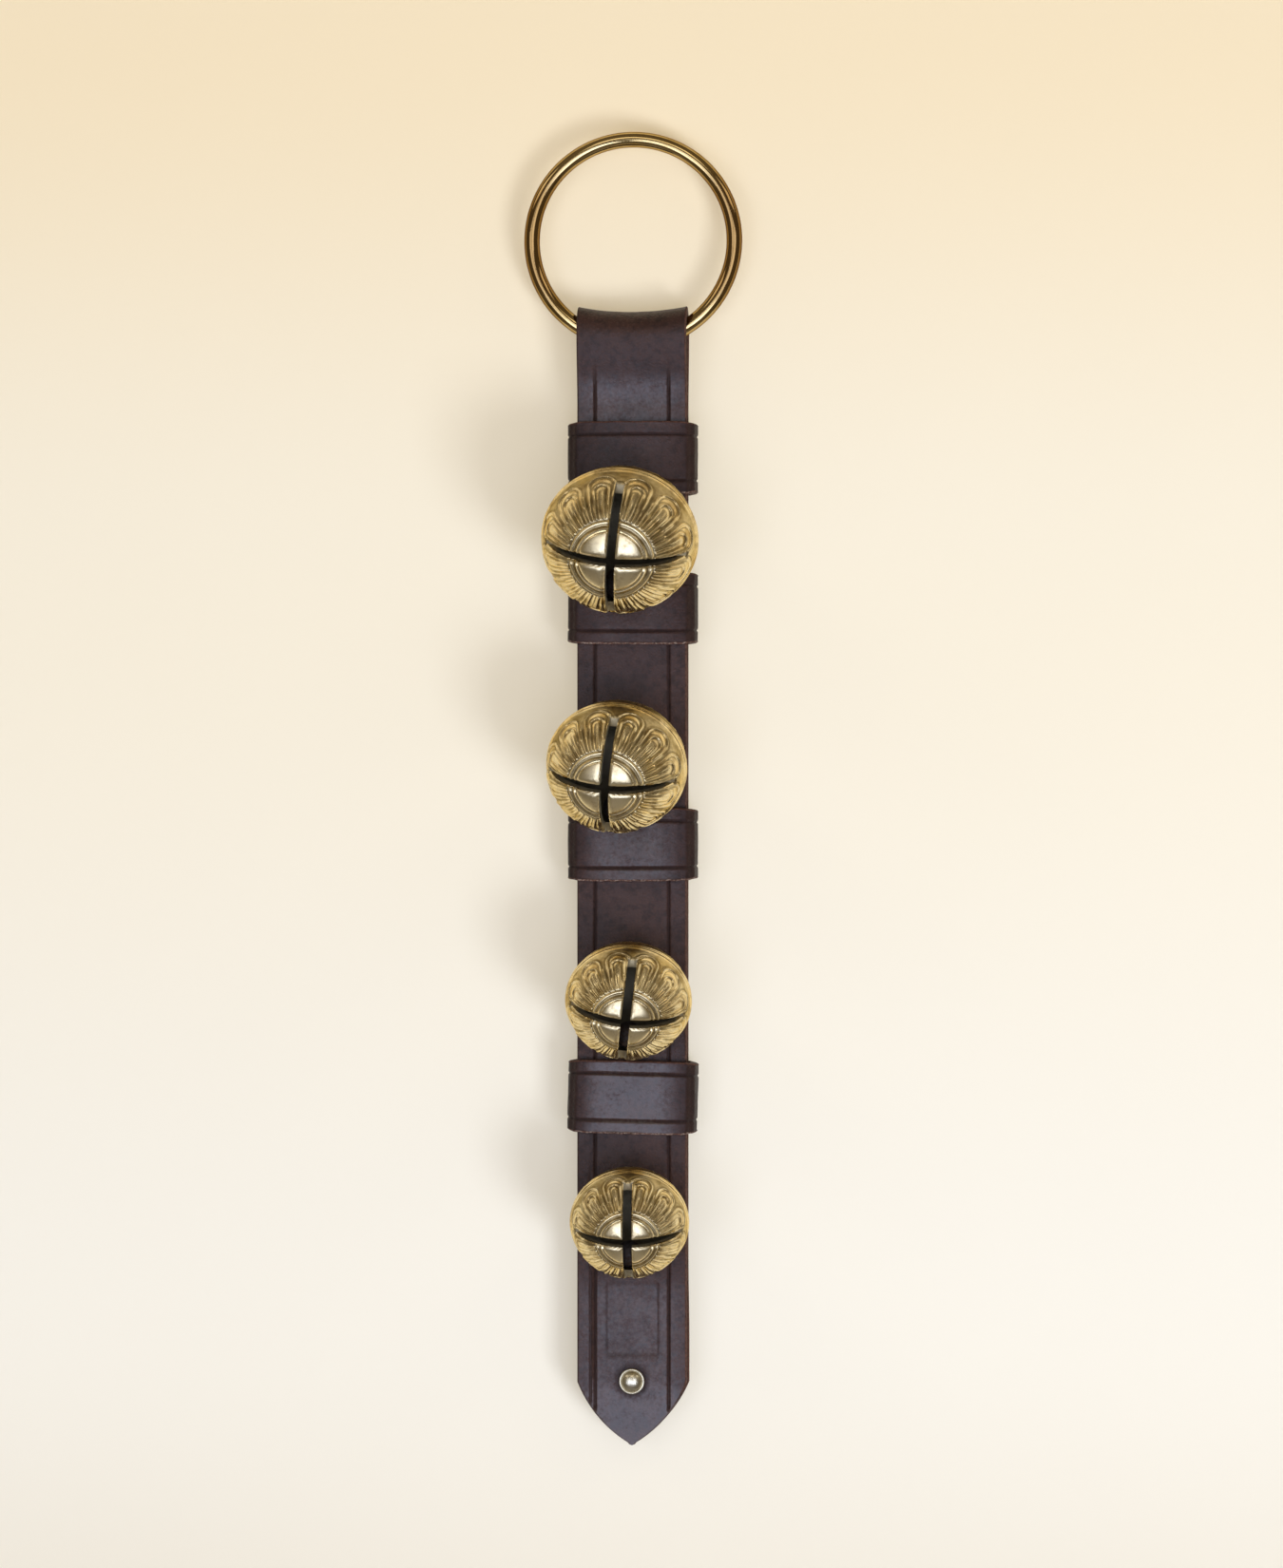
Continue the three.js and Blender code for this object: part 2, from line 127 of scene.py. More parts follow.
def newFinish(name):
    finish = bpy.data.materials.new(name)
    finish.use_nodes = True
    start = Sock(finish.node_tree)
    shader = finish.node_tree.nodes["Principled BSDF"]

    def dress(**values):  # Base_Color feeds the shader's Base Color, and so on
        for key, value in values.items():
            start.feed(shader.inputs[key.replace("_", " ")], value)

    return finish, start.node("TexCoord", None, None, "Object"), dress


def bumpFrom(height, strength, depth):  # depth in mm
    return height.node("Bump", None, {"Strength": strength, "Distance": depth * mm, "Height": height})


# meshes
def gridFaces(rows, cols, wrapRows=False):  # columns always close
    a, b = np.meshgrid(np.arange(rows if wrapRows else rows - 1), np.arange(cols), indexing="ij")
    c, d = (a + 1) % rows, (b + 1) % cols
    return np.stack([a * cols + b, a * cols + d, c * cols + d, c * cols + b], -1).reshape(-1, 4).tolist()


def poleFaces(rows, cols):  # a grid closed by one point at each end
    faces = gridFaces(rows, cols)
    first, last, base = rows * cols, rows * cols + 1, (rows - 1) * cols
    faces += [[first, (j + 1) % cols, j] for j in range(cols)]
    faces += [[last, base + j, base + (j + 1) % cols] for j in range(cols)]
    return faces


def newObject(name, data):
    made = bpy.data.objects.new(name, data)
    bpy.context.scene.collection.objects.link(made)
    return made


def newPiece(name, points, faces):  # points in mm
    mesh = bpy.data.meshes.new(name)
    mesh.from_pydata((np.asarray(points, float).reshape(-1, 3) * mm).tolist(), [], faces)
    mesh.update()
    return newObject(name, mesh)


def skinPiece(name, grid, wrapRows=False):  # rows that close on themselves, or have a flat cap at each end
    rows, cols = grid.shape[:2]
    faces = gridFaces(rows, cols, wrapRows)
    if not wrapRows:
        faces += [list(range(cols))[::-1], list(range((rows - 1) * cols, rows * cols))]
    return newPiece(name, grid, faces)


def lathePiece(name, profile, turns):  # (radius, depth) about the Y axis, first and last on the axis
    angle = np.linspace(0, fullTurn, turns, endpoint=False)
    rim = np.array([[(r * math.cos(t), d, -r * math.sin(t)) for t in angle] for r, d in profile[1:-1]])
    ends = [(0, profile[0][1], 0), (0, profile[-1][1], 0)]
    return newPiece(name, np.vstack([rim.reshape(-1, 3), ends]), poleFaces(*rim.shape[:2]))


def carve(piece, tool, how="DIFFERENCE"):
    cut = piece.modifiers.new("cut", "BOOLEAN")
    cut.operation, cut.solver, cut.object = how, "MANIFOLD", tool
    view = bpy.context.evaluated_depsgraph_get()
    made = bpy.data.meshes.new_from_object(piece.evaluated_get(view))
    piece.modifiers.clear()
    piece.data = made
    bpy.data.objects.remove(tool)


def cleanCuts(piece, merge=0.003, thin=0.001):  # no slivers or folded faces left along the cuts, mm
    work = bmesh.new()
    work.from_mesh(piece.data)
    bmesh.ops.remove_doubles(work, verts=work.verts, dist=merge * mm)
    bmesh.ops.dissolve_degenerate(work, edges=work.edges, dist=thin * mm)
    bmesh.ops.triangulate(work, faces=work.faces)
    alike = {}
    for face in work.faces:
        alike.setdefault(frozenset(face.verts), []).append(face)
    folded = [face for faces in alike.values() if len(faces) > 1 for face in faces]
    bmesh.ops.delete(work, geom=folded, context="FACES")
    work.to_mesh(piece.data)
    work.free()


def pointsOf(piece):
    flat = np.empty(len(piece.data.vertices) * 3)
    piece.data.vertices.foreach_get("co", flat)
    return flat.reshape(-1, 3) / mm


def nearestOf(known, asked):  # index of the nearest known point to each asked one, and how far it is
    tree = kdtree.KDTree(len(known))
    for k, spot in enumerate(known):
        tree.insert(spot, k)
    tree.balance()
    _, index, off = zip(*[tree.find(spot) for spot in asked])
    return np.array(index), np.array(off)


def markPiece(piece, **marks):
    for name, values in marks.items():
        layer = piece.data.attributes.new(name, "FLOAT", "POINT")
        layer.data.foreach_set("value", np.asarray(values, np.float32).ravel())


def settle(piece, finish, body, node, sharp=35):
    mesh = piece.data
    mesh.materials.clear()
    mesh.materials.append(finish)
    mesh.polygons.foreach_set("use_smooth", np.ones(len(mesh.polygons), bool))
    mesh.set_sharp_from_angle(angle=math.radians(sharp))
    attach(piece, body)
    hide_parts(node)


def jointSpot(name):  # mm
    return Vector(joints[name]["pos_m"]) / mm


def turned(degrees, axis):
    return Matrix.Rotation(math.radians(degrees), 4, axis)


def ease(t):
    t = np.clip(t, 0, 1)
    return t * t * (3 - 2 * t)


def ridge(away):  # 1 on the line, 0 one half-width off
    return 0.5 + 0.5 * np.cos(np.pi * np.clip(np.abs(away), 0, 1))


def ripple(x, y, z, size):  # slow hand-made unevenness, about -1 to 1
    k = fullTurn / size
    first = np.sin(k * (x + 0.7 * z) + 1.3)
    second = np.sin(k * (1.3 * y - 0.6 * z) + 0.4)
    third = np.sin(k * (0.8 * x - 1.1 * z + 0.5 * y) + 2.2)
    return (first + second + third) / 3


# ring
ringLook = Look(
    radius=29.45,
    wire=2.3,
    uneven=0.03,  # hand-finished
    centre=-27.15,
    around=176,
    section=28,
    bright=(0.58, 0.43, 0.20),
    dull=(0.42, 0.29, 0.11),
    speck=(0.30, 0.19, 0.075),
    sides=(0.245, 0.14, 0.048),  # painted shade: darker brown at the sides, for the dark room they reflect
    sidesMiddle=0.027,  # m below the origin
    sidesFade=(0.0001, 0.0006),  # square of the height from there, m2
    rim=(0.20, 0.12, 0.05),  # edge-on reflections
    rough=0.075,
)


def ringFinish(look):
    finish, where, dress = newFinish("polished_ring_brass")
    cloud = where.noise(14, 4, 0.6)
    speck = where.noise(0.6, 3, 0.65)
    scratch = where.noise(0.4, 2, 0.5, (1, 0.2, 1))
    colour = cloud.between(0.42, 0.72).blend(look.bright, look.dull)
    colour = (speck.between(0.62, 0.8) * 0.3).blend(colour, look.speck)
    # painted shade: the ring's sides darker brown, in place of the dark room they reflect
    offMiddle = where.upward() + look.sidesMiddle
    sides = 1 - (offMiddle * offMiddle).between(*look.sidesFade)
    colour = (sides * 0.85).blend(colour, look.sides)
    rough = look.rough + cloud.between(0.4, 0.8) * 0.05 + (speck - 0.5) * 0.04
    dress(Base_Color=colour, Metallic=1.0, Roughness=rough, Specular_Tint=look.rim,
          Normal=bumpFrom(speck * 0.5 + scratch * 0.5, 0.05, 0.03))
    return finish


def makeRing(look):
    turn = np.linspace(0, fullTurn, look.around, endpoint=False)[:, None]
    side = np.linspace(0, fullTurn, look.section, endpoint=False)[None, :]
    wire = look.wire - look.uneven * (1 + np.sin(3 * turn + 1) * np.cos(side))
    reach = look.radius + wire * np.cos(side)
    depth = -wire * np.sin(side) + 0 * turn
    grid = np.stack([reach * np.sin(turn), depth, look.centre + reach * np.cos(turn)], -1)
    ring = skinPiece("ringBrass", grid, wrapRows=True)
    settle(ring, ringFinish(look), "ring", "hanging_ring")


makeRing(ringLook)
print("ring made")

# bells: the cast brass, then how each hangs, its size and its pattern
brassLook = Look(
    bright=(0.90, 0.75, 0.44),
    warm=(0.86, 0.63, 0.26),
    dark=(0.10, 0.068, 0.028),
    tarnish=(0.32, 0.205, 0.075),
    inside=(0.19, 0.165, 0.115),
    pale=(0.76, 0.64, 0.39),
    rim=(0.82, 0.70, 0.44),  # edge-on reflections
    rough=0.20,
    cloud=(9, 4, 0.6),  # its unevenness: size in mm, detail, roughness, stretch
    patch=(5, 4, 0.65),
    spot=(3.2, 5, 0.7),
    speck=(0.8, 4, 0.7),
    scratch=(0.5, 2, 0.5, (0.25, 1, 1.6)),
    bump=(0.16, 0.10),  # strength, depth in mm
)


def bellFinish(look):
    finish, where, dress = newFinish("antique_bell_brass")
    low, cap, inside = map(where.mark, ("low", "cap", "inside"))
    cloud, patch = where.noise(*look.cloud), where.noise(*look.patch)
    speck, scratch = where.noise(*look.speck), where.noise(*look.scratch)
    spot = where.noise(*look.spot).between(0.50, 0.68) * cap
    grit = speck - 0.5
    tint = (cloud * 0.9 - cap * 0.35).between(0.35, 0.65).blend(look.bright, look.warm)
    stain = patch.between(0.44, 0.64) * 0.62 * (1 - cap * 0.8)
    # grime in the pattern's hollows, with the painted shade of the slots' lips, walls and ends
    grimeAndShade = (low * 0.85 + grit * 0.30 + (patch - 0.5) * 0.55).between(0.22, 1.0) * 0.72
    colour = stain.blend(tint, look.tarnish)
    colour = (cap * 0.8).blend(colour, look.pale)
    colour = (spot * 0.45).blend(colour, look.tarnish)
    colour = grimeAndShade.blend(colour, look.dark)
    colour = inside.blend(colour, look.inside)
    rough = look.rough + cap * 0.12 + spot * 0.10 + grimeAndShade * 0.26 + grit * 0.10 + inside * 0.3
    height = speck * 0.5 + scratch * 0.25 + cloud * 0.6
    dress(Base_Color=colour, Metallic=1 - inside * 0.75, Roughness=rough,
          Normal=bumpFrom(height, *look.bump), Specular_Tint=look.rim)
    return finish


bellsLook = Look(
    across=(44.5, 40.2, 35.7, 33.6),
    wall=(3.3, 3.0, 2.7, 2.5),
    droop=(20.5, 20.0, 20.0, 17.0),  # degrees
    yaw=(-3.6, -7.0, 0.9, 1.5),
    roll=(6.0, 6.0, 6.5, 0.0),
    dull=(0.9, 0.65, 0.4, 0.6),  # grime on the ground of the pattern
    squash=0.943,
    slot=2.6,
    slotEnd=69,  # degrees from the front
    slotSoft=(1.4, 0.75),  # width and depth of the rounded lips
    band=(0.28, 0.8, 0.45),  # height, half width and slope
    bandLine=(0.16, 0.28),  # depth and half width
    drawnFor=22,  # radius that the pattern's sizes suit
    petal=30,  # degrees round
    arches=((11.4, 77.0, 0.36, 0.50), (6.8, 67.0, 0.32, 0.42)),  # half turn, top, height, half width
    archFoot=(44.0, 8),  # degrees from the front, and the run of the fade
    seed=(0.16, 0.66, 0.45),  # in the inner arch: height, edge and slope
    rays=(0.34, 0.56, 9.0),  # height, half width, turn between them
    rayStart=(34, 2),
    rayEnd=(56.0, 7),
    groove=(0.3, 1.8, 0.9),  # beside each line: share of its height, place, half width
    capRings=(27.0, 32.0),
    capRing=(0.24, 0.55),  # height and half width
    capGroove=(0.20, 0.85, 0.4),  # depth, place, half width
    patternStart=(24.0, 1.8),
    patternEnd=(84, 2),
    ground=0.18,  # how far the pattern is set in
    backRelief=(0.4, 0.12),  # share of the pattern, and depth of the whole
    columns=600,
    shankThick=4.0,
    shankHalf=2.4,
    eye=2.3,
    root=3.0,
    rootLong=1.6,
)


def fade(angle, start):  # start: degrees and run
    return ease((angle - start[0]) / start[1])


def castLine(off, high):  # a raised line and the thin groove on each side of it
    share, place, half = bellsLook.groove
    return high * ridge(off), share * high * ridge((off - place) / half)


def bellRelief(front, turn, size):
    # front: degrees from the nearer pole, turn: degrees round from a slot, size: against drawnFor
    look = bellsLook
    away = np.sin(np.radians(front))
    arc = math.radians(1) * look.drawnFor * size * away  # mm for each degree of turn
    taper = np.clip(away, 0.45, 1) * max(size, 0.92)  # lines narrow towards the pole
    petal = turn % look.petal - look.petal / 2
    cut, rise, reaches = np.zeros_like(arc), np.zeros_like(arc), []
    for half, top, high, wide in look.arches:
        middle = top - half
        reach = np.hypot(petal / half, np.maximum(front - middle, 0) / half)
        line, groove = castLine(np.abs(reach - 1) * half * arc / (wide * taper), high)
        rise, cut = np.maximum(rise, line), np.maximum(cut, groove)
        reaches.append(reach)
    around = ease((reaches[0] - 1.04) / 0.12)  # outside the petals
    high, edge, slope = look.seed
    rise = np.maximum(rise, high * ease((edge - reaches[1]) / slope))
    foot = fade(front, look.archFoot)
    high, wide, pitch = look.rays
    line, groove = castLine(np.abs((turn % pitch - pitch / 2) * arc / (wide * taper)), high)
    rayShare = fade(front, look.rayStart) * (1 - fade(front, look.rayEnd))
    rise, cut = np.maximum(rise * foot, line * rayShare), np.maximum(cut * foot, groove * rayShare)
    (high, wide), (deep, place, half) = look.capRing, look.capGroove
    for ring in look.capRings:
        off = np.abs(front - ring) * math.radians(1) * look.drawnFor
        rise = np.maximum(rise, high * ridge(off / wide))
        cut = np.maximum(cut, deep * ridge((off - place) / half))
    field = fade(front, look.patternStart) * (1 - fade(front, look.patternEnd))
    return (rise - cut - look.ground) * field * size, cut * field, rise * field, around * foot * field


def ballMesh(angles, count, radiusAt, inward=False):  # angles: degrees from the front pole
    theta = np.radians(angles[1:-1])[:, None]
    phi = np.linspace(0, fullTurn, count, endpoint=False)[None, :]
    r = radiusAt(np.degrees(theta) + 0 * phi, np.degrees(phi) + 0 * theta)
    out = r * np.sin(theta)
    rim = np.stack([out * np.sin(phi), -r * np.cos(theta) + 0 * phi, out * np.cos(phi)], -1)
    ends = [(0, -r[0].mean(), 0), (0, r[-1].mean(), 0)]
    faces = poleFaces(len(theta), count)
    if inward:
        faces = [face[::-1] for face in faces]
    return np.vstack([rim.reshape(-1, 3), ends]), faces


def boxTool(low, high):
    (a, b, c), (d, e, f) = low, high
    points = [(x, y, z) for z in (c, f) for x, y in ((a, b), (d, b), (d, e), (a, e))]
    faces = [[3, 2, 1, 0], [4, 5, 6, 7], [0, 1, 5, 4], [1, 2, 6, 5], [2, 3, 7, 6], [3, 0, 4, 7]]
    return newPiece("tool", points, faces)


def punchTool(outline, *depths):
    return skinPiece("tool", np.stack([outline + (0, depth, 0) for depth in depths]))


def stadiumOutline(radius, bottom, top):
    t = np.linspace(0, -fullTurn, 48, endpoint=False)
    middle = np.where(np.sin(t) >= 0, top - radius, bottom + radius)
    return np.stack([radius * np.cos(t), 0 * t, middle + radius * np.sin(t)], -1)


def lensOutline(half, long):  # narrows to a point at each end
    t = np.linspace(0, -fullTurn, 120, endpoint=False)
    return np.stack([long * np.cos(t), 0 * t, half * np.sign(np.sin(t)) * np.abs(np.sin(t)) ** 0.8], -1)


def boreTool(radius, half):  # round hole along Y
    return lathePiece("tool", [(0, -half), (radius, -half), (radius, half), (0, half)], 40)


def bellSizes(i):  # radius, wall, how far ahead of the middle the slots end
    radius = bellsLook.across[i] / 2
    return radius, bellsLook.wall[i], radius * math.cos(math.radians(bellsLook.slotEnd))


def bellRows():  # degrees from the front pole, closest where the pattern is finest
    rows = [0, 2, 5, 9, 13, 17, 20.5, 23]
    for low, high, step in ((24.5, 36, 0.6), (36, 58, 1.2), (58, 84, 0.75), (84, 96, 0.5), (96, 157, 1.6)):
        rows += np.arange(low, high, step).tolist()
    return np.array(rows + [160, 165, 171, 176, 180])


def bellSkin(theta, phi, i):  # radius of the outside, at degrees from the front pole and round
    look = bellsLook
    radius, _, floor = bellSizes(i)
    size = radius / look.drawnFor
    relief = bellRelief(np.minimum(theta, 180 - theta), phi, size)[0]
    share, sunk = look.backRelief
    relief = np.where(theta > 90, relief * share - sunk * size * ease((theta - 92) / 3), relief)
    offBand = (theta - 90) * math.radians(1) * radius
    (high, wide, slope), (deep, lineHalf) = look.band, look.bandLine
    band = high * (1 - ease((np.abs(offBand) - wide) / slope))
    r = radius + relief + band - deep * ridge(offBand / lineHalf)
    out = r * np.sin(np.radians(theta))
    x, z = out * np.sin(np.radians(phi)), out * np.cos(np.radians(phi))
    ahead = ease((r * np.cos(np.radians(theta)) - floor + 0.6) / 1.2)
    off = np.minimum(np.abs(x), np.abs(z)) - look.slot / 2
    wide, deep = look.slotSoft
    soft = np.clip(1 - np.maximum(off, 0) / wide, 0, 1)
    r = r - deep * size * (1 - np.sqrt(1 - soft ** 2 * 0.999)) * ahead
    return r + 0.05 * size * ripple(x, z, theta * 0.3, 11 * size)


def bellMarks(spots, i):  # grime, rubbed metal, the unfinished inside and painted shade at the slots, from where each point lies
    look, dull = bellsLook, bellsLook.dull[i]
    radius, wall, floor = bellSizes(i)
    size = radius / look.drawnFor
    r = np.linalg.norm(spots, axis=1)
    theta = np.degrees(np.arccos(np.clip(-spots[:, 1] / r, -1, 1)))
    front, turn = np.minimum(theta, 180 - theta), np.degrees(np.arctan2(spots[:, 0], spots[:, 2]))
    _, cut, rise, around = bellRelief(front, turn, size)
    onSkin = ease((r - radius + 0.9 * size) / 0.3)
    upper = np.cos(np.radians(turn))
    ground = dull * (0.50 + 0.16 * upper) * ease((front - 25) / 2) * (1 - ease((front - 60) / 14))
    darkerAbove = dull * 0.6 * ease((theta - 58) / 16) * np.clip(upper + 0.1, 0, 1)  # darker on the upper side
    # painted shade along the lips of the level slot
    slotLipShade = np.clip(1 - (np.abs(spots[:, 2]) - look.slot / 2) / 1.5, 0, 1) * (theta < look.slotEnd)
    polish = np.clip(rise / 0.18 - 0.3, 0, 1)  # rubbed bright where it stands up
    low = (cut / 0.16 + ground + 0.5 * around + darkerAbove) * (1 - 0.85 * polish) + 0.65 * slotLipShade
    low = np.minimum(low, 1) * onSkin
    # painted shade on the slot walls, darker the deeper they go
    low = np.maximum(low, (1 - onSkin) * (0.35 + 0.6 * ease((radius - r) / wall)))
    inside = ease((radius - wall * 0.80 - r) / (wall * 0.25))
    shadedLedge = np.abs(spots[:, 1] + floor) < 0.01  # flat ends of the slots, given painted shade
    low, inside = np.where(shadedLedge, 1.0, low), np.where(shadedLedge, 0.35, inside)
    cap = np.maximum(ease((25.5 - theta) / 2), 0.9 * polish) * onSkin
    return low, cap, inside


def shankPiece(reach, start):
    look = bellsLook
    bend = np.linspace(-np.pi / 2, np.pi / 2, 25)
    side = ((1.4, 0), (1.65, 0.04), (1.9, 0.2), (2.0, 0.5))  # rounded edge of a shank 4 mm thick
    rows = []
    for x, inset in [(-x, inset) for x, inset in side[::-1]] + list(side):
        h = look.shankHalf - inset
        edge = [(y, -h) for y in np.linspace(start, reach, 10, endpoint=False)]
        edge += [(reach + h * math.cos(a), h * math.sin(a)) for a in bend]
        edge += [(y, h) for y in np.linspace(reach, start, 11)[1:]]
        rows.append([(x * look.shankThick / 4, y, z) for y, z in edge])
    return skinPiece("tool", np.array(rows))


def addShank(shell, i, reach):  # with its thickened root and the eye for the pin
    root, long = bellsLook.root, bellsLook.rootLong
    radius, wall, _ = bellSizes(i)
    carve(shell, shankPiece(reach, radius - wall / 2), "UNION")
    profile = [(0, radius - wall / 2), (root + 0.3, radius - wall / 2)]
    profile += [(root - 0.6 * ease(t), radius - 0.2 + (long + 0.2) * t) for t in np.linspace(0, 1, 7)]
    profile += [(0, radius + long)]
    carve(shell, lathePiece("tool", profile, 48), "UNION")
    eye = boreTool(bellsLook.eye / 2, 8)
    eye.data.transform(Matrix.Translation((0, reach * mm, 0)) @ turned(90, "Z"))
    carve(shell, eye)


def makeBell(i, finish):
    look, name = bellsLook, f"bell_{i + 1}"
    radius, wall, floor = bellSizes(i)
    pin = jointSpot(name + "_lift")
    reach = (jointSpot(f"pellet_{i + 1}_rattle") - pin).length
    points, faces = ballMesh(bellRows(), look.columns, lambda theta, phi: bellSkin(theta, phi, i))
    inner = ballMesh(np.linspace(0, 180, 49), 96, lambda theta, phi: radius - wall + 0 * theta, True)
    faces += [[v + len(points) for v in face] for face in inner[1]]
    shell = newPiece(f"bellShell{i + 1}", np.vstack([points, inner[0]]), faces)
    half, far = look.slot / 2, 1.2 * radius
    level = lensOutline(half, radius * math.sin(math.radians(look.slotEnd)) + 0.2)
    carve(shell, boxTool((-half, -far, -far), (half, -floor, far)))
    carve(shell, punchTool(level, -far, -floor))
    low, cap, inside = bellMarks(pointsOf(shell), i)
    shell.data.transform(Matrix.Diagonal((1, 1, look.squash, 1)) @ turned(look.roll[i], "Y"))
    marked = pointsOf(shell)
    addShank(shell, i, reach)
    cleanCuts(shell)
    nearest, off = nearestOf(marked, pointsOf(shell))
    own = off < 0.02  # the rest is the shank, evenly dull
    markPiece(shell, low=np.where(own, low[nearest], 0.45), cap=cap[nearest] * own,
              inside=inside[nearest] * own)
    hang = Matrix.Translation(pin * mm) @ turned(look.yaw[i], "Z") @ turned(look.droop[i], "X")
    shell.data.transform(hang @ Matrix.Translation((0, -reach * mm, 0)))
    settle(shell, finish, name, f"bell_shell_{i + 1}", 40)


bellBrass = bellFinish(brassLook)
for i in range(bellCount):
    makeBell(i, bellBrass)
print("bells made")

# leather of the strap and the keepers
leatherLook = Look(
    worn=(0.066, 0.030, 0.020),
    edge=(0.125, 0.056, 0.036),
    edgeDark=(0.038, 0.018, 0.012),
    flesh=(0.085, 0.048, 0.032),
    fleshDark=(0.045, 0.026, 0.018),
    # dark of the grain and creases, also used for painted shade
    pressed=(0.014, 0.007, 0.006),
    frayed=(0.34, 0.25, 0.19),
    rough=0.38,
    rawRough=0.82,
    shine=0.30,
    waxRough=0.31,
    cloud=(26, 4, 0.6),  # its unevenness: size in mm, detail, roughness, stretch
    smoke=(11, 3, 0.6),
    mottle=(5, 3, 0.6),
    pebble=(1.9, 2, 0.5),
    wrinkle=(1.7, 3, 0.6, (0.22, 1, 1)),
    sparkle=(1.0, 2, 0.6),
    fibre=(0.9, 5, 0.75),
    fray=(0.7, 4, 0.8),
    fine=(0.35, 2, 0.6),
    pores=0.75,  # size in mm
    bump=(0.42, 0.24),  # strength, depth in mm
)
edgeBend = np.radians([72, 54, 36, 18, 0])  # steps of a rounded edge


def leatherFinish(name, face, rubbed):
    look = leatherLook
    finish, where, dress = newFinish(name)
    cut, flesh, press, worn, fray, dry = map(where.mark, ("cut", "flesh", "press", "worn", "fray", "dry"))
    cloud, smoke, mottle = [where.noise(*each) for each in (look.cloud, look.smoke, look.mottle)]
    pebble, sparkle = where.noise(*look.pebble), where.noise(*look.sparkle)
    fibre, fine = where.noise(*look.fibre), where.noise(*look.fine)
    pores = where.cells(look.pores).between(0.15, 0.6)

    # rubbed places, dark grain and creases, painted shade round the rivet and the keepers' bends, then cut
    # edges, the flesh side and loose fibres
    rub = ((cloud * 0.7 + mottle * 0.5).between(0.50, 0.76) * rubbed + worn * 0.9).atMost(1)
    colour = rub.blend(face, look.worn)
    grain = pores * 0.30 + pebble.between(0.45, 0.7) * 0.42
    for dark in (smoke.between(0.48, 0.72) * 0.4, grain, press * 0.75):
        colour = dark.blend(colour, look.pressed)
    raw = fibre.between(0.35, 0.7).blend(look.edge, look.edgeDark)
    colour = cut.between(0.3, 0.9).blend(colour, raw)
    suede = fibre.between(0.3, 0.75).blend(look.flesh, look.fleshDark)
    colour = flesh.blend(colour, suede)
    loose = fray * where.noise(*look.fray).between(0.46, 0.66)
    colour = loose.blend(colour, look.frayed)

    # wax shines on the handled face only
    bare = (cut * 0.8 + flesh).atMost(1)
    cloudy, mottled, pebbled = cloud - 0.5, mottle - 0.5, pebble - 0.5
    dull = dry * 0.12 + cloudy * 0.30 + mottled * 0.18 + pebbled * 0.22
    rough = (look.rough + dull + press * 0.15) * (1 - bare) + look.rawRough * bare
    polish = 0.88 + mottled * 1.2 + cloudy * 0.9 + pebbled * 0.8 + (sparkle - 0.5) * 1.5
    wax = ((1 - dry) * polish - bare - press * 0.8).between(0, 1)
    wrinkle = where.noise(*look.wrinkle) * worn
    skin = (1 - pores) * 0.55 + fine * 0.25 + pebble * 0.9 + mottle * 0.7 + wrinkle * 1.3
    height = skin * (1 - bare) + fibre * 1.6 * bare
    dress(Base_Color=colour, Roughness=rough, Normal=bumpFrom(height, *look.bump),
          Specular_IOR_Level=look.shine, Coat_Weight=wax, Coat_Roughness=look.waxRough)
    return finish


# strap
strapLook = Look(
    face=(0.048, 0.0207, 0.0148),
    rubbed=0.55,
    half=15.875,
    thick=2.8,
    layer=3.4,  # middle of each layer from the mid plane
    foldRadius=6.75,
    sag=1.6,
    swing=-54.277,
    legTop=-75.877,
    closing=-321.977,
    closeRun=23.0,
    closedDepth=-0.3,
    shoulder=-357.977,
    point=18.2,
    bulge=2.1,
    tipRound=0.9,
    tipRows=(46, 1.15),  # how many, and how much closer towards the tip
    frontStep=1.1,  # between rows
    backStep=2.0,
    skew=0.5,
    edgeRound=0.5,
    crease=5.2,
    creaseWide=0.65,
    creaseDeep=0.40,
    secondCrease=1.3,  # outside the first, on the left of the lower end
    pinBehind=3.55,  # depth of the bells' pins from the front face
    slotRound=3.0,
    slotEnds=4.14,
    rivet=-357.677,
    rivetHole=2.5,
    panel=(-7.3, 7.7, -350.4, -329.0, 0.24),  # left, right, bottom, top, depth of the pressed panel
)


def pointOutline(look):  # one side of the pointed end, from the shoulder to the tip
    half, tip = look.half, look.shoulder - look.point
    run = math.hypot(half, look.point)
    bendX = half / 2 + 2 * look.bulge * look.point / run
    bendZ = (look.shoulder + tip) / 2 - 2 * look.bulge * half / run
    t = np.linspace(0, 1, 400)
    x = (1 - t) ** 2 * half + 2 * t * (1 - t) * bendX
    z = (1 - t) ** 2 * look.shoulder + 2 * t * (1 - t) * bendZ + t ** 2 * tip
    return x, z


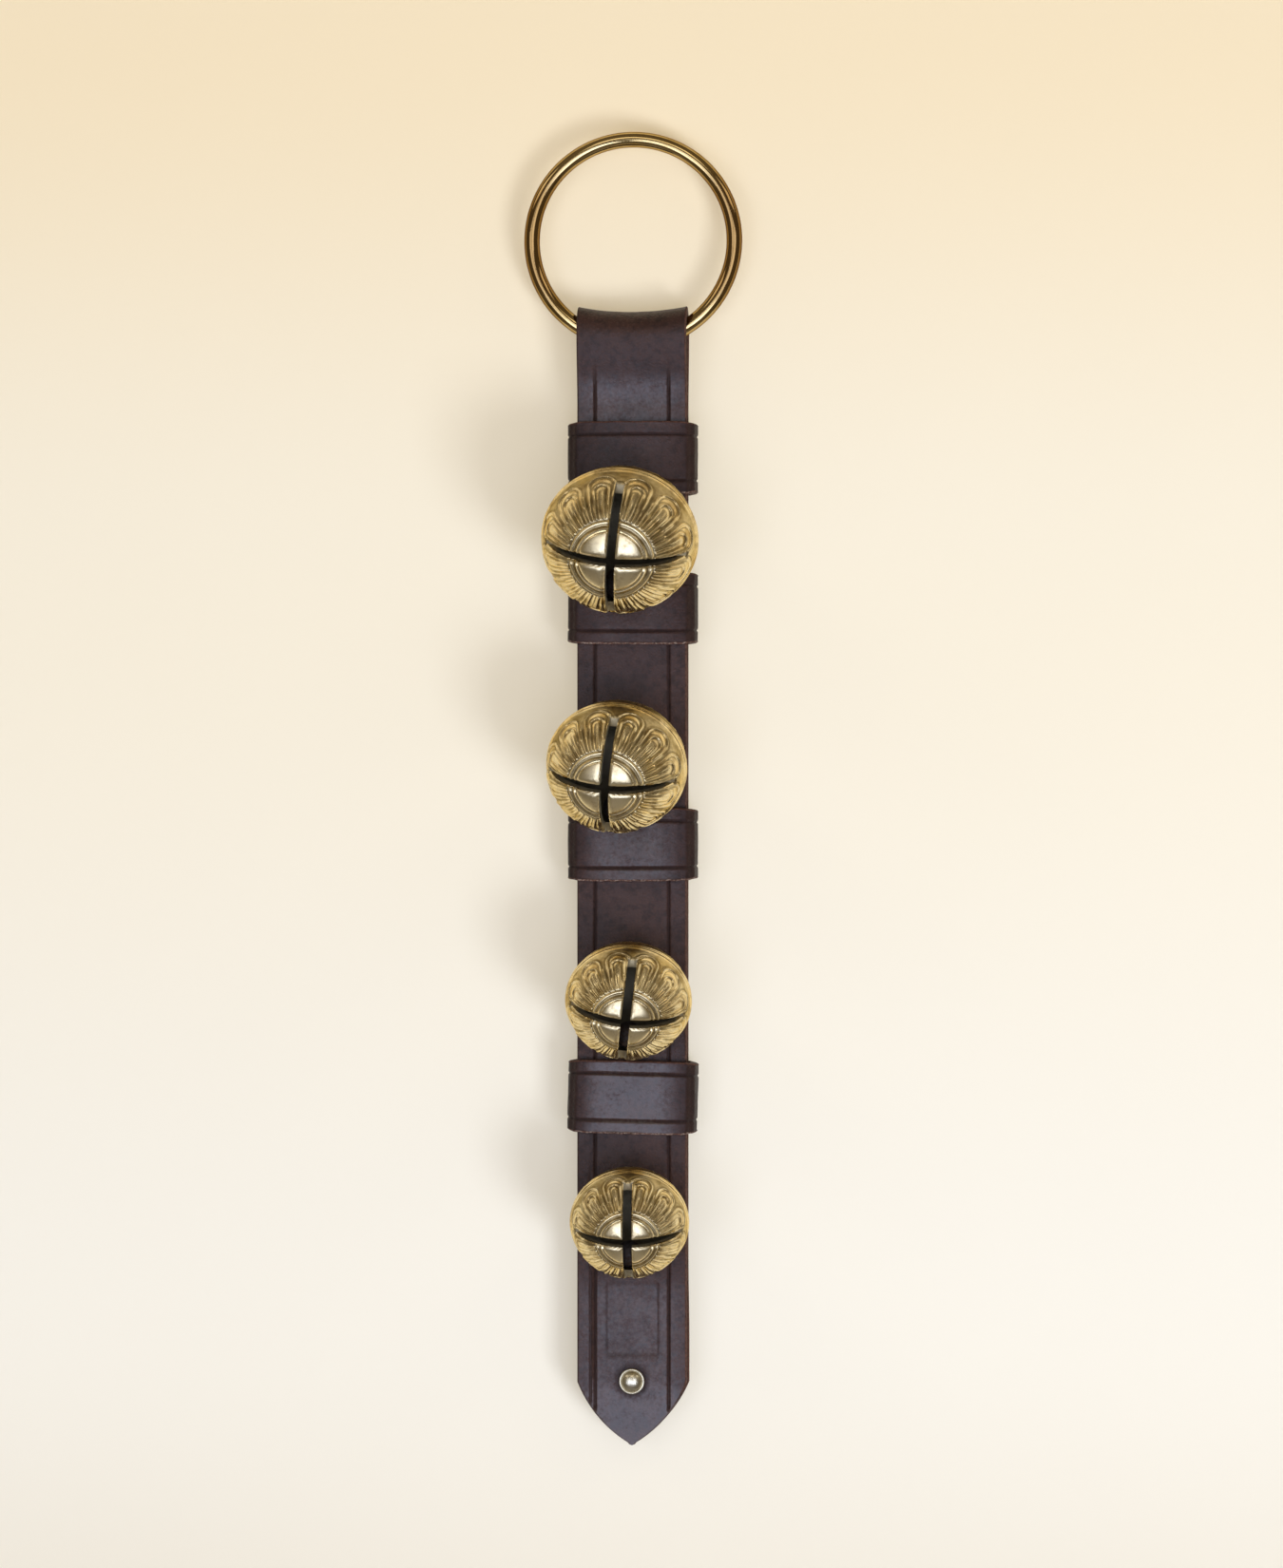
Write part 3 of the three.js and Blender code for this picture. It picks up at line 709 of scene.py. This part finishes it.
def strapLine(look):  # rows of shift, depth, height from the front tip over the ring to the back tip
    tip, legTop, swing = look.shoulder - look.point, look.legTop, look.swing
    layer, fold, skew, closed = look.layer, look.foldRadius, look.skew, look.closedDepth
    tipRows, closer = look.tipRows
    rise = tip + look.point * np.linspace(0, 1, tipRows, endpoint=False) ** closer
    rows = [(0, -layer, z) for z in [*rise, *np.arange(look.shoulder, legTop, look.frontStep)]]
    flare = np.linspace(0, 1, 24, endpoint=False)
    rows += [(0, -layer - (fold - layer) * ease(t), legTop + (swing - legTop) * t) for t in flare]
    rows += [(0, fold * math.cos(a), swing + fold * math.sin(a)) for a in np.linspace(np.pi, 0, 49)]
    rows += [(0, layer + (fold - layer) * ease(t), legTop + (swing - legTop) * t) for t in flare[::-1]]
    rows += [(0, layer, z) for z in np.arange(legTop - 1.5, look.closing, -look.backStep)]
    closing, closeRun = look.closing, look.closeRun
    for t in np.linspace(0, 1, 40):
        rows.append((skew * ease(t), layer + (closed - layer) * ease(t), closing - closeRun * t))
    last = closing - closeRun
    rows += [(skew, closed, z) for z in np.arange(last - 1, look.shoulder + 0.3, -1.0)]
    fall = tip + look.point * np.linspace(1, 0, tipRows) ** closer
    rows += [(skew * (1 - 0.85 * ease((look.shoulder - z) / 14)), closed, z) for z in fall]
    return np.array(rows, float)


def strapSection():  # share of the half width, edge x, side, edge n
    section = []
    for s, count in ((1, 101), (-1, 33)):  # outer face and right edge, inner face and left edge
        section += [(c, 0, s, s) for c in np.linspace(-s, s, count)]
        section += [(s, s * math.cos(b), s, s * math.sin(b)) for b in edgeBend]
        section += [(s, s * math.cos(b), -s, -s * math.sin(b)) for b in edgeBend[::-1]]
    return np.array(section).T


def strapGrid(look):  # points of the leather before it is cut, and their marks
    rows = strapLine(look)
    shift, depth, height = rows.T[:, :, None]
    shoulder, swing = look.shoulder, look.swing
    outlineX, outlineZ = pointOutline(look)
    half = np.where(height < shoulder, np.interp(-height, -outlineZ, outlineX), look.half)
    fromTip = np.clip(height - shoulder + look.point, 0, look.tipRound)
    half = np.maximum(half, np.sqrt(fromTip * (2 * look.tipRound - fromTip)) + 0.25)
    after, before = np.roll(rows, -1, 0), np.roll(rows, 1, 0)
    after[-1], before[0] = rows[-1], rows[0]
    way = (after - before).T[:, :, None]
    run = np.hypot(way[1], way[2])
    outDepth, outHeight = -way[2] / run, way[1] / run

    share, edgeX, side, edgeN = strapSection()
    isEdge = edgeX != 0
    isFace, isInner = ~isEdge & (side > 0), ~isEdge & (side < 0)
    isFront = depth < 0
    roundOff = np.minimum(look.edgeRound, half * 0.5)
    x = (half - roundOff) * share + roundOff * edgeX
    z = height + 0 * x
    n = (look.thick / 2 - look.edgeRound) * side + look.edgeRound * edgeN + 0 * x

    # pressed creases run straight down and out over the cut of the point
    away = look.half - np.abs(x)
    inLeather = ease((half - np.abs(x) - 0.4) / 0.8)
    press = ridge((away - look.crease) / look.creaseWide) * isFace * inLeather
    second = ridge((away - look.crease + look.secondCrease) / look.creaseWide)
    second = second * isFace * isFront * (x < 0) * inLeather
    press = np.maximum(press, 0.7 * second * ease((shoulder + 70 - z) / 25))
    press = press * ease((swing - 6 - z) / 11)  # none over the fold
    left, right, bottom, top, deep = look.panel
    inPanel = np.minimum(np.minimum(x - left, right - x), np.minimum(z - bottom, top - z))
    n = n - deep * ease((inPanel + 0.5) / 1.1) * isFace * isFront
    soft = 0.07 * ripple(x, 3 * depth, z, 31) + 0.04 * ripple(x + 9, z, x, 13)
    n = n - look.creaseDeep * press + (soft - 0.05) * isFace
    sagShare = ease((height - swing + 6) / 11.35)
    sag = look.sag * (1 - (x / look.half) ** 2) * sagShare
    grid = np.stack([x + shift, depth + n * outDepth, z + n * outHeight - sag], -1)

    # painted shadow round the rivet and a pressed line round the panel, handled most at the tip and below
    # the ring
    fromRivet = np.hypot(x, z - look.rivet)
    # painted contact shadow on the leather round the rivet
    press = np.maximum(press, 0.75 * (1 - ease((fromRivet - 3.6) / 2.4)) * isFace * isFront)
    press = np.maximum(press, 0.3 * ridge(inPanel / 0.7) * isFace * isFront)
    worn = np.maximum(ease((np.abs(share) - 0.93) / 0.07) * 0.5 + 0 * x, 0.6 * sagShare + 0 * x) * isFace
    belowRing = 0.65 * ease((z + 108) / 10) * ease((swing - 8 - z) / 8)
    polished = np.maximum(ease((shoulder + 14 - z) / 24), belowRing)
    polished = np.maximum(polished, 0.55 * ease((look.closing - z) / 12))
    polished = np.maximum(polished, 0.14) * (1 - 0.35 * ease((np.abs(x) - 9) / 7))
    # edges of the tip burnished dark; the left edges darker as painted shade, away from the light
    burnishedAndShaded = np.maximum((x < 0) * 0.55, 0.6 * ease((shoulder - z) / 4))
    marks = {"cut": isEdge * (1 - burnishedAndShaded), "flesh": isInner + 0 * x, "press": press, "worn": worn,
             "dry": 1 - polished}
    return grid, marks


def makeStrap(look):
    grid, marks = strapGrid(look)
    strap = skinPiece("strapLeather", grid)
    shank, inFront = bellsLook.shankHalf, -12
    for i in range(bellCount):  # slots for the bell shanks
        pin = jointSpot(f"bell_{i + 1}_lift")
        droop = math.radians(bellsLook.droop[i])
        below = look.pinBehind * math.tan(droop) + shank / math.cos(droop) + look.slotEnds - shank
        slot = stadiumOutline(look.slotRound, pin.z - below, pin.z + look.slotEnds)
        carve(strap, punchTool(slot, inFront, pin.y))
    hole = boreTool(look.rivetHole, 12)  # through both layers
    hole.data.transform(Matrix.Translation((0, 0, look.rivet * mm)))
    carve(strap, hole)
    cleanCuts(strap)
    nearest = nearestOf(grid.reshape(-1, 3), pointsOf(strap))[0]
    markPiece(strap, **{name: np.asarray(values, float).ravel()[nearest] for name, values in marks.items()})
    finish = leatherFinish("strap_leather", look.face, look.rubbed)
    settle(strap, finish, "strap", "strap", 50)


makeStrap(strapLook)
print("strap made")

# keepers
keeperLook = Look(
    face=(0.044, 0.0183, 0.0133),
    rubbed=0.45,
    insideX=16.175,
    insideY=5.1,
    thick=2.8,
    corner=0.8,
    cornerSoft=0.55,
    crown=0.55,
    tall=21.2,
    edgeRound=0.55,
    crease=3.8,
    creaseWide=0.60,
    creaseDeep=0.36,
    seam=(5.5, 0.45, 0.35),  # butt joint at the back: place, half width, depth
    ragged=(0.14, 7, 0.10, 9),  # lower edge, then upper edge: height and length of its waves
    tilt=(0, 0.3, -0.2, 1.2),  # degrees
    dry=(0.75, 0.70, 0.32, 0.0),
    drawn=0.7,  # corners of the long edges
)


def keeperRound(look):  # inside corner or wall that each column stands on, and the way it faces
    spots = []
    cornerX, cornerY = look.insideX - look.corner, look.insideY - look.corner
    for sideX, sideY, start in ((1, 1, 0), (-1, 1, 90), (-1, -1, 180), (1, -1, 270)):
        endX, endY = sideX * cornerX, sideY * cornerY
        spots += [(endX, endY, math.radians(start + a)) for a in np.linspace(0, 90, 11)]
        nextX, nextY = (-endX, endY) if sideX == sideY else (endX, -endY)
        steps = 64 if sideX == sideY else 16
        for t in np.linspace(0, 1, steps, endpoint=False)[1:]:
            spots.append((endX + (nextX - endX) * t, endY + (nextY - endY) * t, math.radians(start + 90)))
    return np.array(spots).T[:, :, None]


def keeperSection(look):  # outer face 0, edges 1 and inner face 2: thickness, height, kind
    tall, thick, rounded = look.tall, look.thick, look.edgeRound
    run = tall - 2 * rounded
    outer = [(thick - rounded + rounded * math.sin(b), rounded * math.cos(b)) for b in edgeBend]
    inner = [(rounded - rounded * math.sin(b), rounded * math.cos(b)) for b in edgeBend]
    section = [(thick, -rounded - run * t, 0) for t in np.linspace(0, 1, 61)]
    section += [(n, -tall + rounded - drop, 1) for n, drop in outer + inner[::-1]]
    section += [(0, -tall + rounded + run * t, 2) for t in np.linspace(0, 1, 17)]
    section += [(n, -rounded + drop, 1) for n, drop in inner + outer[::-1]]
    return np.array(section).T[:, None, :]


def makeKeeper(i, look, finish):
    tall, thick, corner = look.tall, look.thick, look.corner
    cx, cy, angle = keeperRound(look)
    n, z, kind = keeperSection(look)
    isFace, isEdge, isInner = kind == 0, kind == 1, kind == 2
    cornerX, cornerY = look.insideX - corner, look.insideY - corner
    crown = look.crown * (cx / cornerX) ** 2 * np.clip(np.abs(cy) / cornerY, 0, 1) ** 2
    cornerDrop = crown + look.cornerSoft * np.sin(2 * angle) ** 2  # the bend is thinner and rounder
    x, y = cx + (corner + n) * np.cos(angle), cy + (corner + n) * np.sin(angle)

    away = np.minimum(-z, tall + z)
    press = (ridge((away - look.crease) / look.creaseWide) * isFace) + 0 * cx
    seamX, seamHalf, seamDeep = look.seam
    seam = ridge((x - seamX) / seamHalf) * (y > 0) * isFace
    soft = 0.10 * ripple(x + 17 * i, y, z, 23) + 0.05 * ripple(z + 5 * i, x, y, 9)
    lift = (-look.creaseDeep * press - seamDeep * seam + soft - 0.10) * isFace - cornerDrop * n / thick
    x, y = x + lift * np.cos(angle), y + lift * np.sin(angle)
    lowHigh, lowLong, topHigh, topLong = look.ragged
    ragged = lowHigh * ripple(2 * x + 31 * i, y, 0 * x, lowLong) * ease((-z - tall + 2.5) / 2.5)
    ragged = ragged - topHigh * ripple(x, y + i, 0 * x, topLong) * ease((2.5 + z) / 2.5)
    drawn = look.drawn * np.clip(np.abs(x) / 18.5, 0, 1) ** 6 * (-z / tall * 2 - 1)
    keeper = skinPiece(f"keeperBand{i + 1}", np.stack([x, y, z + ragged + drawn], -1), wrapRows=True)

    sides = 0.7 * ease((np.abs(x) - 12.0) / 6.5) * isFace  # painted shade round the bends
    worn = ease((0.9 - away) / 0.9) * 0.6 * isFace + 0 * x
    dry = look.dry[i] + (1 - look.dry[i]) * 0.85 * ease((np.abs(x) - 6) / 10)
    markPiece(keeper, cut=isEdge + 0 * x, flesh=isInner + 0 * x, worn=worn, dry=dry,
              press=np.maximum(np.maximum(press, seam), sides), fray=isEdge * (z < -tall / 2) + 0 * x)
    _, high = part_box(f"keeper_{i + 1}")
    middle = Matrix.Translation((0, 0, (high.z / mm - tall / 2) * mm))
    lifted = Matrix.Translation((0, 0, tall / 2 * mm))
    keeper.data.transform(middle @ turned(look.tilt[i], "Y") @ lifted)
    settle(keeper, finish, f"keeper_{i + 1}", f"keeper_{i + 1}", 50)


keeperLeather = leatherFinish("keeper_leather", keeperLook.face, keeperLook.rubbed)
for i in range(bellCount):
    makeKeeper(i, keeperLook, keeperLeather)
print("keepers made")


# plain metals
def metalFinish(name, look):
    finish, where, dress = newFinish(name)
    cloud = where.noise(look.grain * 6, 4, 0.6)
    speck = where.noise(look.grain, 4, 0.7)
    colour = (cloud * 0.6 + speck * 0.5).between(0.42, 0.72).blend(look.bright, look.dull)
    rough = look.rough + (speck - 0.5) * 0.25
    dress(Base_Color=colour, Metallic=look.metallic, Roughness=rough,
          Normal=bumpFrom(speck + cloud * 0.5, 0.25, look.grain * 0.12))
    return finish


# split pins that hold the bells
pinLook = Look(
    wire=0.4,
    leg=0.55,
    end=9.0,
    eye=1.3,
    tipShare=0.55,  # of the wire, at the two ends
    bright=(0.42, 0.40, 0.37),
    dull=(0.17, 0.12, 0.09),
    rough=0.42,
    grain=0.6,
    metallic=1.0,
)


def catmull(points, steps):
    points = np.array(points, float)
    padded = np.vstack([2 * points[0] - points[1], points, 2 * points[-1] - points[-2]])
    line = []
    for a, b, c, d in zip(padded, padded[1:], padded[2:], padded[3:]):
        square, cube = 2 * a - 5 * b + 4 * c - d, 3 * b - a - 3 * c + d
        for t in np.linspace(0, 1, steps, endpoint=False):
            line.append(0.5 * (2 * b + (c - a) * t + square * t ** 2 + cube * t ** 3))
    return np.array(line + [points[-1]])


def makePin(i, look, finish):
    leg, end, eye = look.leg, look.end, look.eye
    centre = eye - end
    side = [(end, 2.6 * leg), (end - 2.5, 1.6 * leg), (end - 5, leg), (end / 3, leg), (-end / 3, leg)]
    side += [(centre + 2.2 * eye, leg), (centre, eye)]
    line = catmull(side + [(centre - eye, 0)] + [(x, -z) for x, z in side[::-1]], 8)
    way = np.gradient(line, axis=0)
    way /= np.linalg.norm(way, axis=1)[:, None]
    thin = np.ones(len(line))
    thin[0] = thin[-1] = look.tipShare
    low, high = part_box(f"cotter_pin_{i + 1}")
    middle = (low + high) / 2 / mm
    angle = np.linspace(0, fullTurn, 14, endpoint=False)
    rows = []
    for (x, z), (wayX, wayZ), share in zip(line, way, thin):
        r = look.wire * share
        rows.append([(x + r * math.cos(a) * wayZ, middle.y + r * math.sin(a),
                      middle.z + z - r * math.cos(a) * wayX) for a in angle])
    pin = skinPiece(f"splitPin{i + 1}", np.array(rows))
    across = middle.x * mm - (line[:, 0].min() + line[:, 0].max()) / 2 * mm
    pin.data.transform(Matrix.Translation((across, 0, 0)))
    settle(pin, finish, "strap", f"cotter_pin_{i + 1}", 60)


pinSteel = metalFinish("pin_steel", pinLook)
for i in range(bellCount):
    makePin(i, pinLook, pinSteel)

# pellets, rough cast
pelletLook = Look(
    size=0.955,  # of the solid
    lumps=(0.025, 1.1),  # height and length, against the radius
    pits=(0.015, 0.5),
    bright=(0.13, 0.12, 0.115),
    dull=(0.10, 0.045, 0.022),
    rough=0.62,
    grain=0.9,
    metallic=0.85,
)


def makePellet(i, look, finish):
    low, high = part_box(f"pellet_{i + 1}")
    middle, radius = (low + high) / 2 / mm, (high.x - low.x) / 2 / mm
    (lumpHigh, lumpLong), (pitHigh, pitLong) = look.lumps, look.pits

    def lumpy(theta, phi):
        a, b = np.radians(theta), np.radians(phi)
        x, y, z = np.sin(a) * np.sin(b), np.cos(a), np.sin(a) * np.cos(b)
        lumps = lumpHigh * ripple(x, y, z, lumpLong + 0.1 * i)  # no two alike
        return radius * (look.size + lumps + pitHigh * ripple(z, x, y, pitLong))

    points, faces = ballMesh(np.linspace(0, 180, 41), 64, lumpy)
    pellet = newPiece(f"pelletIron{i + 1}", points + np.array(middle), faces)
    settle(pellet, finish, f"pellet_{i + 1}", f"pellet_{i + 1}", 60)


pelletIron = metalFinish("pellet_iron", pelletLook)
for i in range(bellCount):
    makePellet(i, pelletLook, pelletIron)

# rivet: domed cap with its tube, and the flat base with its post
rivetLook = Look(
    seat=-4.85,
    cap=3.75,
    rise=2.05,
    shoulder=0.85,  # from the seat to the foot of the dome
    domeTurn=1.15,  # radians
    bead=0.36,  # rolled rim
    bore=1.6,
    tube=2.2,
    tubeEnd=-0.9,
    baseThick=0.8,
    post=1.3,
    bright=(0.70, 0.64, 0.48),
    dull=(0.50, 0.45, 0.33),
    rough=0.30,
    grain=0.7,
    metallic=1.0,
)


def capProfile(look):
    seat, edge, bead, turn = look.seat, look.cap, look.bead, look.domeTurn
    foot, wide = seat - look.shoulder, edge - 2 * bead - 0.1
    high, flat = look.rise - look.shoulder, math.cos(turn)
    dome = [(wide * math.sin(t) / math.sin(turn), foot - high * (math.cos(t) - flat) / (1 - flat))
            for t in np.linspace(0, turn, 14)]
    rim = [(edge - bead + bead * math.cos(t), seat - bead - bead * math.sin(t))
           for t in np.linspace(2.7, -np.pi / 2, 16)]
    bore, tube, end = look.bore, look.tube, look.tubeEnd
    return dome + rim + [(tube, seat), (tube, end), (bore, end), (bore, seat), (0, seat)]


def baseProfile(look):
    low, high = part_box("rivet_base")
    tip, post, thick = low.y / mm, look.post, look.baseThick
    seat, edge, bend = high.y / mm - thick, (high.x - low.x) / 2 / mm, thick / 2
    profile = [(0, tip), (post - 0.1, tip), (post, tip + 0.1), (post, seat)]
    profile += [(edge - 0.1, seat), (edge, seat + 0.12)]
    profile += [(edge - bend + bend * math.cos(t), seat + bend + bend * math.sin(t))
                for t in np.linspace(0, np.pi / 2, 6)]
    return profile + [(1.6, seat + thick), (1.2, seat + 0.62), (0, seat + 0.58)]  # dished by the hammer


def makeRivet(look):
    finish = metalFinish("rivet_brass", look)
    cap = lathePiece("rivetCap", capProfile(look), 56)
    base = lathePiece("rivetBase", baseProfile(look), 56)
    for piece, node in ((cap, "rivet_cap"), (base, "rivet_base")):
        piece.data.transform(Matrix.Translation((0, 0, strapLook.rivet * mm)))
        settle(piece, finish, "strap", node, 40)


makeRivet(rivetLook)
print("pins, pellets and rivet made")

# stage: a cream wall behind, seen from the front only, and a pale floor
stageLook = Look(
    # the wall's colours by height paint how the window's light falls on it: warmer and darker at the top,
    # whiter low down, and painted shade at the foot
    wallHigh=(0.975, 0.825, 0.57),
    wallMiddle=(0.98, 0.90, 0.725),
    wallLow=(0.965, 0.92, 0.805),
    wallFoot=(0.84, 0.77, 0.63),
    bands=((-0.33, -0.12), (-0.12, 0.04), (-0.33, -0.50)),  # m, where one colour passes into the next
    cloud=(0.55, 0.45, 0.30),
    floor=(0.50, 0.47, 0.41),
    ownLight=0.36,  # share of the wall that doesn't take shadows
    shade=(1.0, 0.935, 0.79),  # that share's colour against the paint, so shadows are warm
    wallDepth=9.0,
    wallTop=2500,
    floorHeight=-2200,
    wide=4000,  # half of the wall and the floor
    deep=2600,  # half of the floor
    skyAbove=(0.17, 0.135, 0.085),
    skyBelow=(0.17, 0.145, 0.10),
)


def stageFinish(name, high, middle, low, foot, ownLight, shade):
    finish, where, dress = newFinish(name)
    up, plaster = where.upward(), where.noise(2.5, 4, 0.6)
    lowBand, highBand, footBand = stageLook.bands
    # colour by height; on the wall this paints the fall of light and a shaded foot
    colour = up.between(*lowBand).blend(low, middle)
    colour = up.between(*highBand).blend(colour, high)
    colour = up.between(*footBand).blend(colour, foot)
    colour = (where.noise(160, 3, 0.5) * 0.05).blend(colour, stageLook.cloud)
    dress(Base_Color=colour, Roughness=0.92, Specular_IOR_Level=0.15, Normal=bumpFrom(plaster, 0.12, 0.25))
    tree = finish.node_tree
    start, solid = Sock(tree), Sock(tree, tree.nodes["Principled BSDF"].outputs[0])
    rays = ("Is Camera Ray", "Is Glossy Ray", "Is Transmission Ray")
    camera, glossy, passing = [start.node("LightPath", None, None, ray) for ray in rays]
    seen = (camera + glossy + passing).atMost(1) * ownLight
    glow = start.node("Emission", None, {"Color": colour.times(shade), "Strength": 1.0})
    front = start.node("MixShader", None, {0: seen, 1: solid, 2: glow})
    back = start.node("NewGeometry", None, None, "Backfacing")
    whole = start.node("MixShader", None, {0: back, 1: front, 2: start.node("BsdfTransparent")})
    start.feed(tree.nodes["Material Output"].inputs[0], whole)
    return finish


def sheetPiece(name, corners, finish):
    sheet = newPiece(name, corners, [[0, 1, 2, 3]])
    sheet.data.materials.append(finish)
    sheet.visible_shadow = False
    return sheet


def makeStage(look):
    wide, deep, behind = look.wide, look.deep, look.wallDepth
    bottom, top = look.floorHeight, look.wallTop
    walls = (look.wallHigh, look.wallMiddle, look.wallLow, look.wallFoot)
    wallPaint = stageFinish("wall_paint", *walls, look.ownLight, look.shade)
    floorPaint = stageFinish("floor_paint", *[look.floor] * 4, 0, (1, 1, 1))
    around = ((-1, -1), (1, -1), (1, 1), (-1, 1))
    heights = {-1: bottom, 1: top}
    wall = sheetPiece("wall", [(a * wide, behind, heights[b]) for a, b in around], wallPaint)
    sheetPiece("floor", [(a * wide, b * deep, bottom) for a, b in around], floorPaint)
    wall.visible_diffuse = False  # the back of the part stays lit
    world = bpy.data.worlds.new("room")
    bpy.context.scene.world = world
    world.use_nodes = True
    start = Sock(world.node_tree)
    sky = start.node("TexCoord").upward().between(-0.5, 0.5).blend(look.skyBelow, look.skyAbove)
    start.feed(world.node_tree.nodes["Background"].inputs[0], sky)


makeStage(stageLook)

# lamps: a tall window in front, two panes wide and two high, light along the ceiling, and fill
lampLook = Look(
    aim=(0, -5, -200),
    window=(-100, -2300),  # middle of the panes, across and away
    paneAside=645,
    paneLow=Look(height=-822, size=(1150, 845), watts=(9.8, 11.0), tint=(0.80, 0.90, 1.22)),
    paneHigh=Look(height=12, size=(1150, 625), watts=(4.6, 5.4), tint=(0.88, 0.94, 1.14)),
    ceilingGlow=Look(turns=(-52, 0, 52), away=1700, height=850, size=(900, 420), watts=1.9),
    softKey=Look(place=(950, -1450, -950), size=(520, 520), watts=18, tint=(0.90, 0.97, 1.12)),
    wallBounce=Look(place=(0, 1500, -100), size=(1600, 1400), watts=10),
    warm=(1.0, 0.93, 0.82),
)


def addLamp(name, place, size, watts, tint):
    data = bpy.data.lights.new(name, "AREA")
    data.shape, data.size, data.size_y = "RECTANGLE", size[0] * mm, size[1] * mm
    data.energy, data.color = watts, tint
    lamp = newObject(name, data)
    lamp.location = Vector(place) * mm
    lamp.rotation_euler = (Vector(lampLook.aim) - Vector(place)).to_track_quat("-Z", "Y").to_euler()
    return lamp


def makeLamps(look):
    across, away = look.window
    for k, side in enumerate((-1, 1)):
        for name, pane in (("paneLow", look.paneLow), ("paneHigh", look.paneHigh)):
            place = (across + side * look.paneAside, away, pane.height)
            addLamp(name, place, pane.size, pane.watts[k], pane.tint)
    glow = look.ceilingGlow
    for turn in np.radians(glow.turns):
        place = (glow.away * math.sin(turn), -glow.away * math.cos(turn), glow.height)
        addLamp("ceilingGlow", place, glow.size, glow.watts, look.warm)
    key, bounce = look.softKey, look.wallBounce
    keyLamp = addLamp("softKey", key.place, key.size, key.watts, key.tint)
    keyLamp.visible_glossy = False  # for the shadows alone
    addLamp("wallBounce", bounce.place, bounce.size, bounce.watts, look.warm)


makeLamps(lampLook)

# camera: a little to the right of straight ahead
cameraLook = Look(azimuth=4.0, distance=1500, aim=(2.8, -4.8, -184.8), lens=119.0, sensor=36)


def makeCamera(look):
    data = bpy.data.cameras.new("photoCamera")
    data.sensor_fit, data.lens = "VERTICAL", look.lens
    data.sensor_height = data.sensor_width = look.sensor
    data.clip_start, data.clip_end = 0.05, 20
    camera = newObject("photoCamera", data)
    turn = math.radians(look.azimuth)
    back = look.distance * Vector((math.sin(turn), -math.cos(turn), 0))
    camera.location = (Vector(look.aim) + back) * mm
    camera.rotation_euler = (math.pi / 2, 0, turn)
    bpy.context.scene.camera = camera


makeCamera(cameraLook)
bpy.context.scene.view_settings.view_transform = "Standard"
print("stage, lamps and camera set")
